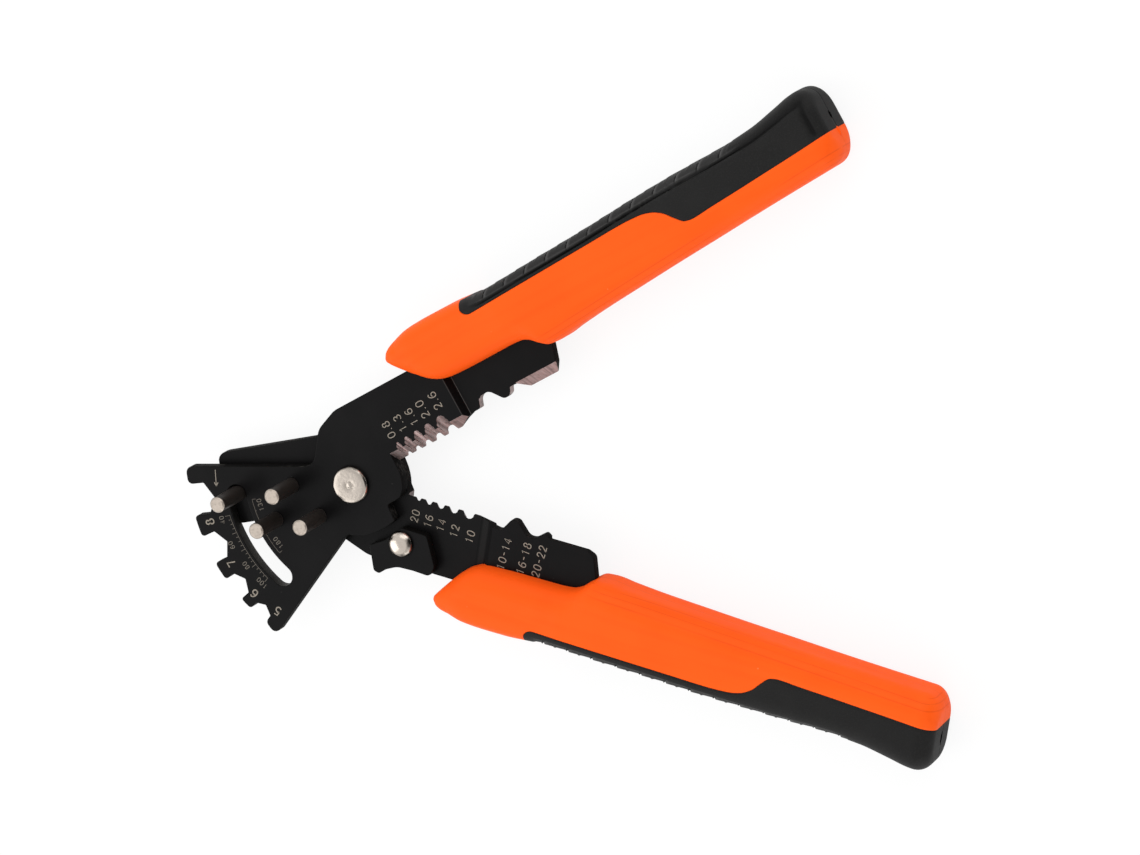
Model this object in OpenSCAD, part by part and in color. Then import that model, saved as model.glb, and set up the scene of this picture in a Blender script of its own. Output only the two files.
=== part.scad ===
// Wire stripping pliers: two stamped steel levers on one riveted pivot, opened by a hidden
// spring and held shut by a small latch, with two-colour moulded grips.
// The origin is on the pivot axis, at the flat back face of the pivot rivet. +Z points to
// the lettered front, and +X runs along the bisector of the open handles, away from the fan.
// Each lever is drawn with the jaws shut, its jaw line on X, and is then turned open.

/* [Levers] */
// Thickness of each steel lever
plate_t = 3; // [2.5:0.1:4]
// Running gap between the two levers
plate_gap = 0.1; // [0.05:0.05:0.3]
// Angle between the two jaw lines in the open rest pose, in degrees
open_a = 40.4; // [30:0.2:44]
// Distance from the jaw line to the back edge of each arm
arm_w = 17.9; // [16.5:0.1:19]
// Radius of the round hub, where it meets the first tooth
hub_r = 14.5; // [13.8:0.1:15]
// Radius of the front lever's rim that faces the jaws
rim_r = 13.85; // [13:0.05:14.4]
// Distance from the pivot to the far end of the cutter
jaw_reach = 64.6; // [62:0.2:68]
// Distance from the pivot to the end of the tang inside the grip
tang_reach = 108; // [90:1:112]
// Width of the tang at its end
tang_w = 4.5; // [3:0.5:5]

/* [Stripping and crimping jaws] */
// Diameters of the stripping notches, from the pivot outwards
strip_d = [0.8, 1.3, 1.6, 2.0, 2.6];
// Distance of the first stripping notch from the pivot
strip_first = 16.95; // [16.6:0.05:17.6]
// Solid tooth left between two stripping notches
strip_tooth = 1.75; // [1.5:0.05:1.95]
// Narrow land left along the ground edges
edge_land = 0.15; // [0.1:0.05:0.3]
// How far each tooth reaches past the jaw line, so that the edges shear
strip_lap = 0.35; // [0.2:0.05:0.5]
// Length of the sloping step that brings both levers into one plane
joggle_l = 1.3; // [1.2:0.1:2]
// Distance from the pivot to the middle of that step
joggle_x = 37; // [36.6:0.1:37.2]
// Thickness of the coined end that carries the crimping forms and the cutter
crimp_t = 2.4; // [2:0.1:2.8]
// Deepest point of a crimping form from the jaw line
crimp_h = 4.1; // [3:0.05:4.5]
// Width of the ground face along the cutter
cutter_w = 2.6; // [2:0.1:3]

/* [Fan] */
// Radius of the fan's toothed edge
fan_r = 45.5; // [44.8:0.1:47]
// Widths across flats of the four nut notches, from the top of the fan down
nut_af = [8.1, 7.2, 6.1, 5.0];
// Width of the curved slot
slot_w = 5.3; // [5:0.1:5.8]

/* [Pins and rivets] */
// Diameter of each bending pin
pin_d = 4; // [3.6:0.1:4.2]
// Height of each pin above the front face
pin_h = 11.1; // [8:0.1:13]
// Radius of the pivot rivet's heads
rivet_head_r = 4.7; // [4.5:0.1:5.2]
// Height of the pivot rivet's front head
rivet_head_h = 1.4; // [1:0.1:1.8]
// Radius of the pivot bush
bush_r = 4; // [3.6:0.1:4.2]
// Radius of the latch rivet's domed head
latch_head_r = 3.3; // [2.8:0.1:3.5]

/* [Latch] */
// Thickness of the latch
latch_t = 2.5; // [2:0.1:3]
// Length of the latch from its rivet to its long end
latch_l = 9.5; // [9:0.1:9.8]

/* [Return spring] */
// Wire diameter of the return spring
spring_wire = 0.9; // [0.7:0.05:0.95]
// Mean radius of the return spring's coil
spring_r = 6; // [5.6:0.1:6.4]

/* [Grips] */
// Thickness of each grip, front to back
grip_t = 16; // [14:0.2:18]
// Length of each grip along its lever
grip_l = 130.8; // [122:0.2:138]
// Distance from the jaw line to the grip's outer side
grip_out = 27.1; // [26:0.1:29]
// Radius of the grip's long edges on its outer side
grip_edge_r = 4; // [3:0.1:5]
// Radius of the grip's long edges towards the jaw line
grip_inner_r = 6.4; // [4:0.1:7]
// How far the lower grip leans in towards the jaw line, in degrees
grip_lean = 0.85; // [0:0.05:1.5]
// Thickness of the soft inlay over the grip's core
inlay_t = 2.6; // [2:0.1:3.5]

/* [Hidden] */
$fn = 96;
// Radial clearance of the turning and the seated fits
run_gap = 0.04;
seat_gap = 0.02;
// Height of the faces of the two levers from the middle plane between them
face_in = plate_gap / 2;
face_out = face_in + plate_t;
// The back head, its washer and the height of the middle plane above the origin
washer_t = plate_t / 5;
back_head_h = rivet_head_h * 0.9;
mid_z = back_head_h + washer_t + face_out;
grip_x = jaw_reach * 0.404;
blank = [grip_t * 1.5, jaw_reach * 4];

// Places of the stripping notches: each follows the last by two half widths and a tooth
function strip_x(i) = i == 0 ? strip_first
    : strip_x(i - 1) + strip_d[i - 1] / 2 + strip_tooth + strip_d[i] / 2;
strip_end = strip_x(len(strip_d) - 1) + strip_d[len(strip_d) - 1] / 2 + strip_tooth * 0.9;

// Directions and centres of the nut notches on the fan, as angles and shares of its radius
nut_a = [160.3, 177.1, 191.8, 203.2];
nut_centre_share = [0.952, 0.958, 0.975, 0.982];
// Slopes of the ground stripping edge and of its notches, from the pivot's axis
bevel_a = 42;
notch_a = 48.5;
// Middle line of the slot and the sliding pin's place in it, about the pivot
slot_r = fan_r * 0.711;
slot_pin_r = fan_r * 0.7033;
// Ends of the slot, as directions from the pivot
slot_pin_a = 199.84;
slot_from_a = slot_pin_a - open_a + 0.6;
slot_to_a = 201.8;
// Places of the fixed pins on the fan, as shares of its radius
upper_pin_share = [-0.334, 0.147];
middle_pin_share = [-0.523, 0.024];
lower_pin_share = [-0.273, -0.070];
shank_r = pin_d * 0.38;
pin_chamfer = pin_d / 10;

// Back edge from the arm round the shoulder, as shares of the arm's width
shoulder_share = [[0.307, 1], [-0.045, 0.877]];
shoulder_round_share = [0.33, 0.28];
// Fan corners and the radii at its teeth, as shares of the fan's radius
fan_neck_share = [-0.154, 0.180];
fan_top_share = [-0.868, 0.513];
fan_foot_share = [-0.881, -0.534];
fan_crotch_share = [-0.199, -0.235];
nut_mouth_share = [0.028, 0.019, 0.019, 0.019, 0.019, 0.019, 0.019, 0.032];
nut_root_share = 0.0085;
// The rim that faces the latch, as directions and shares of the hub's radius
cam_a = [-126, -66];
cam_low_share = 0.898;
cam_high_share = 0.966;
lock_foot_share = [0.414, -0.59];
lock_ramp_share = [0.703, -0.579];
rim_from_a = -29.5;
// Crimping edges: places along the zone and heights, as shares of its length and depth
crimp_x = joggle_x + joggle_l * 0.63;
crimp_l = jaw_reach - crimp_x;
upper_crimp_share = [[0, 0.361], [0.1046, 0.376], [0.143, 1.024], [0.260, 1.037],
                     [0.371, 0.171], [0.446, 0.293], [0.475, 0.695], [0.548, 0.646]];
lower_crimp_share = [[0, 0.293], [0.072, 0.378], [0.164, -0.512], [0.221, -0.512],
                     [0.339, 0.298], [0.408, 0.268], [0.502, -0.244]];
upper_cutter_share = [[0.628, 0.134], [0.94, 0.134], [1, 0.674]];
lower_cutter_share = [[0.563, 0.05], [0.93, 0.05], [1, 0.40]];
// Corner radii along those edges, as shares of the depth
upper_crimp_round_share = [0, 0.11, 0.5, 0.5, 0.37, 0.30, 0.22, 0];
lower_crimp_round_share = [0, 0.34, 0.34, 0.34, 0.47, 0.47, 0.19];
cutter_round_share = [0, 0.1, 0.32];
// Outline of the tang behind the cutter, as shares of the tang's reach and the arm's width
tang_share = [[0.612, 0.40], [0.638, 0.68], [0.70, 0.80]];
tang_back_share = [[0.62, 1.2], [0.50, 1.22], [0.36, 1]];
tang_end_share = 1.13;

// Outline of the latch about its rivet, as shares of its long end, with its corner radii
latch_share = [[-0.868, -0.278], [-0.463, -0.032], [-0.063, 0.411], [0.663, 0.400],
               [1.0, -0.36], [0.92, -0.655], [0.432, -0.632], [-0.021, -0.653],
               [-0.33, -0.81], [-0.50, -0.97], [-0.66, -0.93], [-0.80, -0.50]];
latch_round_share = [0.03, 0.25, 0.05, 0.12, 0.14, 0.15, 0.5, 0.5, 0.4, 0.10, 0.10, 0.4];
latch_at = [hub_r * 1.041, -hub_r * 0.793];
latch_shank_r = latch_head_r * 0.489;
latch_washer_t = plate_t / 10;
latch_z = latch_washer_t + seat_gap;
latch_head_h = latch_head_r * 0.6;

// Grip sections: place, inner side, outer side and half thickness, as shares of the
// grip's length, of its outer side's distance and of half its thickness
grip_share = [[0, 0.800, 0.850, 0.60], [0.008, 0.745, 0.897, 0.72], [0.021, 0.665, 0.934, 0.79],
              [0.040, 0.562, 0.967, 0.83], [0.0615, 0.480, 0.989, 0.86],
              [0.080, 0.440, 0.996, 0.875], [0.102, 0.424, 1, 0.89], [0.151, 0.420, 0.998, 0.92],
              [0.197, 0.421, 0.982, 0.95], [0.236, 0.422, 0.967, 0.98],
              [0.263, 0.415, 0.967, 1], [0.281, 0.378, 0.972, 1], [0.298, 0.305, 0.978, 1],
              [0.312, 0.264, 0.982, 1], [0.334, 0.258, 0.985, 1], [0.366, 0.277, 0.989, 1],
              [0.428, 0.304, 1, 1], [0.505, 0.329, 1.015, 1], [0.597, 0.357, 1.040, 1],
              [0.689, 0.381, 1.056, 1], [0.781, 0.406, 1.056, 1], [0.858, 0.424, 1.080, 1],
              [0.919, 0.437, 1.137, 1], [0.955, 0.446, 1.178, 1]];
grip_end_r = grip_edge_r * 1.2;
grip_end_steps = 5;
grip_corner_steps = 4;
// Edge of the soft inlay on the grip's faces, as shares of the grip's length and distance
inlay_share = [[0.192, 0.845], [0.35, 0.858], [0.54, 0.882], [0.612, 0.886], [0.652, 0.812],
               [0.677, 0.650], [0.70, 0.640], [0.86, 0.688], [1.05, 0.748]];
inlay_round_share = [0.055, 1, 1, 0.18, 0.3, 0.1, 0.1, 1, 0];

function polar(r, a) = [r * cos(a), r * sin(a)];
function unit(v) = v / norm(v);
function scaled(shares, sx, sy) = [for (p = shares) [p.x * sx, p.y * sy]];

// Points of an arc that rounds the corner b between a and c
function corner(a, b, c, r, n) =
    let (u = unit(a - b), v = unit(c - b), half = acos(max(-1, min(1, u * v))) / 2)
    let (reach = min(r / tan(half), 0.49 * norm(a - b), 0.49 * norm(c - b)))
    let (rr = reach * tan(half), m = b + unit(u + v) * rr / sin(half))
    let (p = b + u * reach - m, q = b + v * reach - m)
    let (from = atan2(p.y, p.x), raw = atan2(q.y, q.x) - from)
    let (sweep = raw > 180 ? raw - 360 : raw < -180 ? raw + 360 : raw)
    [for (i = [0:n]) m + polar(rr, from + sweep * i / n)];

// An outline with each corner rounded by its own radius, where zero leaves it sharp
function rounded(pts, radii, n = 5) =
    [for (i = [0:len(pts) - 1])
        let (a = pts[(i + len(pts) - 1) % len(pts)], b = pts[i], c = pts[(i + 1) % len(pts)])
        let (flat = norm(cross([(b - a).x, (b - a).y, 0], [(c - b).x, (c - b).y, 0])) < 1e-6)
        each (radii[i] == 0 || flat ? [b] : corner(a, b, c, radii[i], n))];

function arc(r, from, to, n) = [for (i = [0:n]) polar(r, from + (to - from) * i / n)];

// The rim under the latch: a low stretch that rises to the locking tip
function cam_rim(n = 14) = [for (i = [0:n])
    let (rise = pow(max(0, i / n - 0.4) / 0.6, 2))
    polar(hub_r * (cam_low_share + (cam_high_share - cam_low_share) * rise),
          cam_a[0] + (cam_a[1] - cam_a[0]) * i / n)];

// Jaw edge, tang and back edge of an arm, from the hub's rim round to the shoulder
function arm_points(crimp, cutter, start) = concat(
    [[sqrt(start * start - strip_lap * strip_lap), -strip_lap],
     [strip_end, -strip_lap]],
    [for (p = concat(crimp, cutter)) [crimp_x + p.x * crimp_l, p.y * crimp_h]],
    scaled(tang_share, tang_reach, arm_w),
    [[tang_reach, tang_end_share * arm_w - tang_w], [tang_reach, tang_end_share * arm_w]],
    scaled(tang_back_share, tang_reach, arm_w),
    scaled(shoulder_share, arm_w, arm_w));
function arm_radii(crimp_round) = concat(
    [0, 0.3 * strip_tooth],
    concat(crimp_round, cutter_round_share) * crimp_h,
    [for (p = tang_share) 0],
    [tang_w / 3, tang_w / 3],
    [0, 3 * tang_w, 3 * tang_w],
    shoulder_round_share * arm_w);

// The joggled sheet seen along the jaw line, wide enough to hold a whole lever
module sheet() {
    far = jaw_reach * 3;
    ramp = joggle_l / 2;
    low = -crimp_t / 2;
    high = crimp_t / 2;
    rotate([90, 0, 0])
        linear_extrude(blank.y, center = true)
            polygon([[-far, face_in], [joggle_x - ramp, face_in], [joggle_x + ramp, low],
                     [far, low], [far, high], [joggle_x + ramp, high],
                     [joggle_x - ramp, face_out], [-far, face_out]]);
}

// A tall prism of an outline, taken through both faces of a lever
module prism(pts) {
    translate([0, 0, -blank.x / 2])
        linear_extrude(blank.x)
            polygon(pts);
}

// Cuts along the stripping edge: the sloping ground face, and its notches at a steeper slope
module strip_cut(start) {
    reach = plate_t * 3;
    translate([start * 0.98, -strip_lap, face_in + edge_land])
        rotate([-bevel_a, 0, 0])
            translate([0, -reach, -reach])
                cube([joggle_x + joggle_l - start * 0.98, reach, 2 * reach]);
    for (i = [0:len(strip_d) - 1]) {
        r = strip_d[i] / 2;
        mouth = r + strip_tooth * 0.22;
        translate([strip_x(i), 0, face_in])
            rotate([-notch_a, 0, 0])
                translate([0, 0, -reach])
                    linear_extrude(2 * reach)
                        polygon(concat([for (a = [0:30:180]) [r * cos(a), r * sin(a) * cos(notch_a)]],
                                       [[-mouth, -strip_lap], [-mouth, -reach],
                                        [mouth, -reach], [mouth, -strip_lap]]));
    }
}

// The ground face of the cutter, beyond a land that is left at the cutting edge
module cutter_cut(edge_share, land) {
    translate([crimp_x + crimp_l * 0.545, edge_share.y * crimp_h, land - crimp_t / 2])
        rotate([-atan2(cutter_w, crimp_t), 0, 0])
            translate([0, -plate_t * 3, 0])
                cube([crimp_l / 2, plate_t * 3, plate_t * 3]);
}

// Half the height of the room that the two levers leave round the bush for the spring
spring_room = plate_t * 0.55;
module spring_pocket() {
    cylinder(h = 2 * spring_room, r = spring_r + spring_wire * 1.6, center = true);
}

// A nut notch in the fan's edge: three sides of the nut's hexagon, open outwards
function notch_points(i) =
    let (side = nut_af[i] / 2, tip = nut_af[i] / sqrt(3), c = fan_r * nut_centre_share[i])
    let (mouth = sqrt(fan_r * fan_r - side * side), a = nut_a[i])
    [for (p = [[mouth, -side], [c - tip / 2, -side], [c - tip, 0], [c - tip / 2, side],
               [mouth, side]])
        [p.x * cos(a) - p.y * sin(a), p.x * sin(a) + p.y * cos(a)]];

// The toothed edge from the top of the fan down, with one point amid each tooth
last_nut = len(nut_af) - 1;
function fan_points() = [for (i = [0:last_nut])
    each concat(notch_points(i),
                i < last_nut ? [polar(fan_r, (nut_a[i] + nut_a[i + 1]) / 2)] : [])];
function fan_radii() = [for (i = [0:last_nut])
    each concat([nut_mouth_share[2 * i], nut_root_share, nut_root_share, nut_root_share,
                 nut_mouth_share[2 * i + 1]] * fan_r, i < last_nut ? [0] : [])];

// The curved slot as one outline: two arcs about the pivot and a round end at each side
module arc_slot() {
    near = slot_r - slot_w / 2;
    first = polar(slot_r, slot_from_a);
    last = polar(slot_r, slot_to_a);
    prism(concat(arc(slot_r + slot_w / 2, slot_from_a, slot_to_a, 24),
                 [for (a = [15:15:165]) last + polar(slot_w / 2, slot_to_a + a)],
                 arc(near, slot_to_a, slot_from_a, 24),
                 [for (a = [195:15:345]) first + polar(slot_w / 2, slot_from_a + a)]));
}

// The front lever's outline: arm, shoulder, fan and the rim round to the lock
function front_points() = concat(
    arm_points(upper_crimp_share, upper_cutter_share, rim_r),
    scaled([fan_neck_share, fan_top_share], fan_r, fan_r),
    fan_points(),
    scaled([fan_foot_share, fan_crotch_share], fan_r, fan_r),
    cam_rim(),
    scaled([lock_foot_share, lock_ramp_share], hub_r, hub_r),
    arc(rim_r, rim_from_a, -4, 8));
function front_radii() = concat(
    arm_radii(upper_crimp_round_share),
    [0.077 * fan_r, 0.038 * fan_r],
    fan_radii(),
    [0.042 * fan_r, 0.012 * fan_r],
    [for (i = [0:13]) 0], [0.02 * hub_r],
    [0.05 * hub_r, 0.12 * hub_r],
    [for (i = [0:8]) 0]);

module front_blank() {
    intersection() {
        sheet();
        prism(rounded(front_points(), front_radii()));
    }
}

// The back lever's rim draws in towards the jaws
function back_points() = concat(
    arm_points(lower_crimp_share, lower_cutter_share, hub_r),
    [for (a = [104:6:350])
        polar(hub_r * (1.04 - 0.112 * max(0, min(1, (a - 290) / 32))), a)]);
function back_radii() = concat(
    arm_radii(lower_crimp_round_share),
    [for (a = [104:6:350]) 0]);

// The tail that carries the sliding pin behind the fan
tail_a = 156.2;
tail_end = slot_w * 0.9;
tail_up = slot_r * 0.317;
tail_down = slot_r * 0.251;
module tail() {
    centre = polar(slot_pin_r, 360 - slot_pin_a);
    corners = [[tail_end, -tail_down], [tail_end, tail_up], [-slot_pin_r, tail_up],
               [-slot_pin_r, -tail_down]];
    translate([centre.x, centre.y, face_in])
        rotate([0, 0, tail_a])
            linear_extrude(plate_t)
                polygon(rounded(corners, [tail_end * 0.5, tail_end * 0.5, 0, 0]));
}

module back_blank() {
    intersection() {
        sheet();
        prism(rounded(back_points(), back_radii()));
    }
    difference() {
        tail();
        translate([hub_r / 2, 0, 0])
            prism([[0, -blank.y], [blank.y, -blank.y], [blank.y, blank.y], [0, blank.y]]);
    }
}

// Lifts what is drawn about the middle plane to its height above the origin
module lifted() {
    translate([0, 0, mid_z])
        children();
}
module upper_side() {
    lifted()
        rotate([0, 0, open_a / 2])
            children();
}
// The lower lever is drawn like the upper one and turned over about its jaw line
module lower_side() {
    lifted()
        rotate([0, 0, -open_a / 2])
            rotate([180, 0, 0])
                children();
}

module bore(r) {
    cylinder(h = blank.x, r = r, center = true);
}
module at_share(p) {
    translate([p.x * fan_r, p.y * fan_r, 0])
        children();
}

module front_lever() {
    color([0.07, 0.07, 0.075])
        upper_side()
            difference() {
                front_blank();
                strip_cut(rim_r);
                cutter_cut(upper_cutter_share[0], edge_land);
                arc_slot();
                bore(bush_r + run_gap);
                spring_pocket();
                for (p = [upper_pin_share, middle_pin_share, lower_pin_share])
                    at_share(p)
                        bore(shank_r + seat_gap);
            }
}

module back_lever() {
    color([0.07, 0.07, 0.075])
        lower_side()
            difference() {
                back_blank();
                strip_cut(hub_r);
                cutter_cut(lower_cutter_share[0], crimp_t * 0.6);
                bore(bush_r + seat_gap);
                spring_pocket();
                translate([latch_at.x, -latch_at.y, 0])
                    bore(latch_shank_r + seat_gap);
                translate(concat(polar(slot_pin_r, 360 - slot_pin_a), [0]))
                    bore(shank_r + seat_gap);
            }
}

module pivot_rivet() {
    shank = bush_r * 0.7;
    rim = rivet_head_h * 0.35;
    bevel = rivet_head_r * 0.12;
    front = face_out + seat_gap;
    back = -face_out - washer_t;
    color([0.80, 0.77, 0.72])
        lifted()
            rotate_extrude()
                polygon([[0, back - back_head_h], [rivet_head_r - bevel, back - back_head_h],
                         [rivet_head_r, back - back_head_h + rim], [rivet_head_r, back],
                         [shank, back], [shank, front], [rivet_head_r, front],
                         [rivet_head_r, front + rim], [rivet_head_r - bevel, front + rivet_head_h],
                         [0, front + rivet_head_h]]);
}

module pivot_bush() {
    color([0.55, 0.5, 0.4])
        lifted()
            difference() {
                cylinder(h = 2 * face_out, r = bush_r, center = true);
                bore(bush_r * 0.7 + seat_gap);
            }
}

module pivot_washer() {
    color([0.6, 0.6, 0.6])
        lifted()
            translate([0, 0, -face_out - washer_t])
                difference() {
                    cylinder(h = washer_t, r = rivet_head_r * 1.25);
                    bore(bush_r * 0.7 + seat_gap);
                }
}

// Return spring: a wire of eight sides wound up the bush, with a straight leg at each end
spring_turns = 1.6;
spring_pitch = spring_wire * 1.5;
spring_leg = spring_wire * 4;
function spring_path() =
    let (n = 30, low = -spring_turns * spring_pitch / 2, a0 = 150)
    let (coil = [for (i = [0:n]) let (t = i / n)
        concat(polar(spring_r, a0 + 360 * spring_turns * t),
               [low + spring_turns * spring_pitch * t])])
    let (first = coil[0], last = coil[n])
    concat([first + concat(polar(spring_leg, a0 - 90), [0])], coil,
           [last + concat(polar(spring_leg, a0 + 360 * spring_turns + 90), [0])]);
module torsion_spring() {
    path = spring_path();
    sides = 8;
    last = len(path) - 1;
    rings = [for (i = [0:last])
        let (d = unit(path[min(i + 1, last)] - path[max(i - 1, 0)]))
        let (side = unit(cross(d, [0, 0, 1])), up = cross(side, d))
        each [for (k = [0:sides - 1])
            path[i] + spring_wire / 2 * (cos(360 * k / sides) * side + sin(360 * k / sides) * up)]];
    walls = [for (i = [0:last - 1], k = [0:sides - 1])
        let (a = i * sides + k, b = i * sides + (k + 1) % sides)
        each [[a, b, a + sides], [b, b + sides, a + sides]]];
    ends = [[for (k = [sides - 1:-1:0]) k], [for (k = [0:sides - 1]) last * sides + k]];
    color([0.7, 0.7, 0.72])
        lifted()
            polyhedron(rings, concat(walls, ends));
}

module at_latch() {
    lifted()
        rotate([0, 0, -open_a / 2])
            translate([latch_at.x, latch_at.y, -face_in])
                children();
}

module latch() {
    color([0.08, 0.08, 0.085])
        at_latch()
            translate([0, 0, latch_z])
                difference() {
                    linear_extrude(latch_t)
                        polygon(rounded(scaled(latch_share, latch_l, latch_l),
                                        latch_round_share * latch_l));
                    bore(latch_shank_r + run_gap);
                }
}

module latch_rivet() {
    top = latch_z + latch_t + seat_gap;
    tail_h = plate_t / 4;
    color([0.85, 0.82, 0.76])
        at_latch() {
            rotate_extrude()
                polygon(concat([[0, -plate_t - tail_h], [latch_shank_r * 1.5, -plate_t - tail_h],
                                [latch_shank_r * 1.5, -plate_t], [latch_shank_r, -plate_t],
                                [latch_shank_r, top], [latch_head_r, top]],
                               [for (a = [15:15:75])
                                   [latch_head_r * cos(a), top + latch_head_h * sin(a)]],
                               [[0, top + latch_head_h]]));
        }
}

module latch_washer() {
    color([0.6, 0.6, 0.6])
        at_latch()
            difference() {
                cylinder(h = latch_washer_t, r = latch_head_r);
                bore(latch_shank_r + seat_gap);
            }
}

// A bending pin: a shank through its lever, and a chamfered body that stands on the front face
module pin(foot, shank_top, neck_r) {
    tip = face_out + pin_h;
    rotate_extrude()
        polygon([[0, foot], [shank_r, foot], [shank_r, shank_top], [neck_r, shank_top],
                 [neck_r, face_out], [pin_d / 2, face_out], [pin_d / 2, tip - pin_chamfer],
                 [pin_d / 2 - pin_chamfer, tip], [0, tip]]);
}
module fan_pin(place) {
    color([0.2, 0.19, 0.18])
        upper_side()
            at_share(place)
                pin(face_in, face_out - seat_gap, pin_d * 0.42);
}
module upper_pin() {
    fan_pin(upper_pin_share);
}
module middle_pin() {
    fan_pin(middle_pin_share);
}
module lower_pin() {
    fan_pin(lower_pin_share);
}
module slot_pin() {
    color([0.2, 0.19, 0.18])
        lifted()
            rotate([0, 0, slot_pin_a - open_a / 2])
                translate([slot_pin_r, 0, 0])
                    pin(-face_out, -face_in, pin_d * 0.46);
}

// One section of a grip across its length: a rectangle with rounded corners
function grip_ring(x, low, high, half) =
    let (n = grip_corner_steps, outer = min(grip_edge_r, half * 0.6, (high - low) * 0.42))
    let (inner = min(grip_inner_r, half * 0.82, (high - low) * 0.52))
    [for (q = [0:3], i = [0:n])
        let (a = 90 * q + 90 * i / n, r = q == 0 || q == 3 ? outer : inner)
        let (c = q == 0 || q == 3 ? high - r : low + r)
        [x, c + r * cos(a), (q < 2 ? half - r : r - half) + r * sin(a)]];

function grip_rings() =
    let (half = grip_t / 2, tip = grip_share[len(grip_share) - 1], end = grip_x + grip_l)
    concat([for (s = grip_share)
               grip_ring(grip_x + s[0] * grip_l, s[1] * grip_out, s[2] * grip_out, s[3] * half)],
           [for (i = [1:grip_end_steps])
               let (a = 84 * i / grip_end_steps, inset = grip_end_r * (1 - cos(a)))
               grip_ring(end - grip_end_r + grip_end_r * sin(a),
                         tip[1] * grip_out + inset, tip[2] * grip_out - inset,
                         half - inset * 0.8)]);

module grip_body() {
    rings = grip_rings();
    m = len(rings[0]);
    last = len(rings) - 1;
    walls = [for (i = [0:last - 1], k = [0:m - 1])
        let (a = i * m + k, b = i * m + (k + 1) % m)
        each [[a, a + m, b], [b, a + m, b + m]]];
    ends = [[for (k = [0:m - 1]) k], [for (k = [m - 1:-1:0]) last * m + k]];
    polyhedron([for (r = rings) each r], concat(walls, ends));
}

// The room of the soft inlay, from its edge on the grip's faces outwards, less the core
module inlay_room() {
    far = grip_out * 2;
    edge = [for (p = inlay_share) [grip_x + p.x * grip_l, p.y * grip_out]];
    core_half = grip_t / 2 - inlay_t;
    core_from = grip_x + inlay_share[5].x * grip_l + inlay_t;
    core_to = grip_x + grip_l - inlay_t * 1.5;
    difference() {
        prism(rounded(concat(edge, [[edge[8].x, far], [edge[0].x, far]]),
                      concat(inlay_round_share * grip_out, [0, 0])));
        translate([core_from, 0, -core_half])
            cube([core_to - core_from, grip_out, 2 * core_half]);
    }
}

module grip() {
    difference() {
        grip_body();
        inlay_room();
    }
}
module inlay() {
    intersection() {
        grip_body();
        inlay_room();
    }
}

module upper_grip() {
    color([1, 0.38, 0.11])
        upper_side()
            difference() {
                grip();
                front_blank();
            }
}
module upper_inlay() {
    color([0.1, 0.1, 0.1])
        upper_side()
            inlay();
}
module lower_grip() {
    color([1, 0.38, 0.11])
        lower_side()
            difference() {
                rotate([0, 0, -grip_lean])
                    grip();
                back_blank();
            }
}
module lower_inlay() {
    color([0.1, 0.1, 0.1])
        lower_side()
            rotate([0, 0, -grip_lean])
                inlay();
}

front_lever();
back_lever();
pivot_rivet();
pivot_bush();
pivot_washer();
torsion_spring();
latch();
latch_rivet();
latch_washer();
slot_pin();
upper_pin();
middle_pin();
lower_pin();
upper_grip();
lower_grip();
upper_inlay();
lower_inlay();
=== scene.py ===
import bmesh
import bpy
import math
import random
from mathutils import Matrix, Quaternion, Vector
from mathutils.bvhtree import BVHTree


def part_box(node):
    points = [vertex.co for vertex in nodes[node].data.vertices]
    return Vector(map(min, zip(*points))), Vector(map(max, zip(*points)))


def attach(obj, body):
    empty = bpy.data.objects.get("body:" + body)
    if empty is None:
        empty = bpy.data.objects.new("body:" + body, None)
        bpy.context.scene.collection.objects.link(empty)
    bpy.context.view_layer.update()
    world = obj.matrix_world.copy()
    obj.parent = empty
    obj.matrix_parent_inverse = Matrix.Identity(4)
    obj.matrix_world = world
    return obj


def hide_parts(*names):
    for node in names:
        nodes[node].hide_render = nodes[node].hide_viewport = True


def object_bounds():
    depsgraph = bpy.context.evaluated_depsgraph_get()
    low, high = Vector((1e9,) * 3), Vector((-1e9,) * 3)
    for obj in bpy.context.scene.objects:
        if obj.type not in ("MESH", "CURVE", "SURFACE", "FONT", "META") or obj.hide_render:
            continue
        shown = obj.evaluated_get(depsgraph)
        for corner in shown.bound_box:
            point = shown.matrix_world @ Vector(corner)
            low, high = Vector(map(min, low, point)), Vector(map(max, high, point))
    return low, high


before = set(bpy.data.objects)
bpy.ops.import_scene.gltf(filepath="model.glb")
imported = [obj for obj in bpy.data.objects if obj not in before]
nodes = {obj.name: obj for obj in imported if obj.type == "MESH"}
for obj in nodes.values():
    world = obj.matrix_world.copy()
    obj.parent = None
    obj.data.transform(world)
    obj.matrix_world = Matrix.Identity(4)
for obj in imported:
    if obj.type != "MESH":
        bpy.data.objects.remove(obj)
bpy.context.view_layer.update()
print("frame loaded:", len(nodes), "nodes")

mm = 0.001
# sizes in mm and degrees that the whole tool shares with its CAD frame
toolSizes = {"middle": 4.91, "halfOpen": 20.2, "frontFace": 3.05, "backFace": -0.05, "coinedFace": 1.2}


def leverPlace(side, turnedOver=False, lean=0.0):
    # where a lever drawn with its jaw line on X sits when the tool is open
    turn = toolSizes["halfOpen"] * (1 if side == "upper" else -1)
    place = Matrix.Translation((0, 0, toolSizes["middle"] * mm)) @ Matrix.Rotation(math.radians(turn), 4, "Z")
    if turnedOver:
        place = place @ Matrix.Rotation(math.pi, 4, "X") @ Matrix.Rotation(math.radians(-lean), 4, "Z")
    return place


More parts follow.
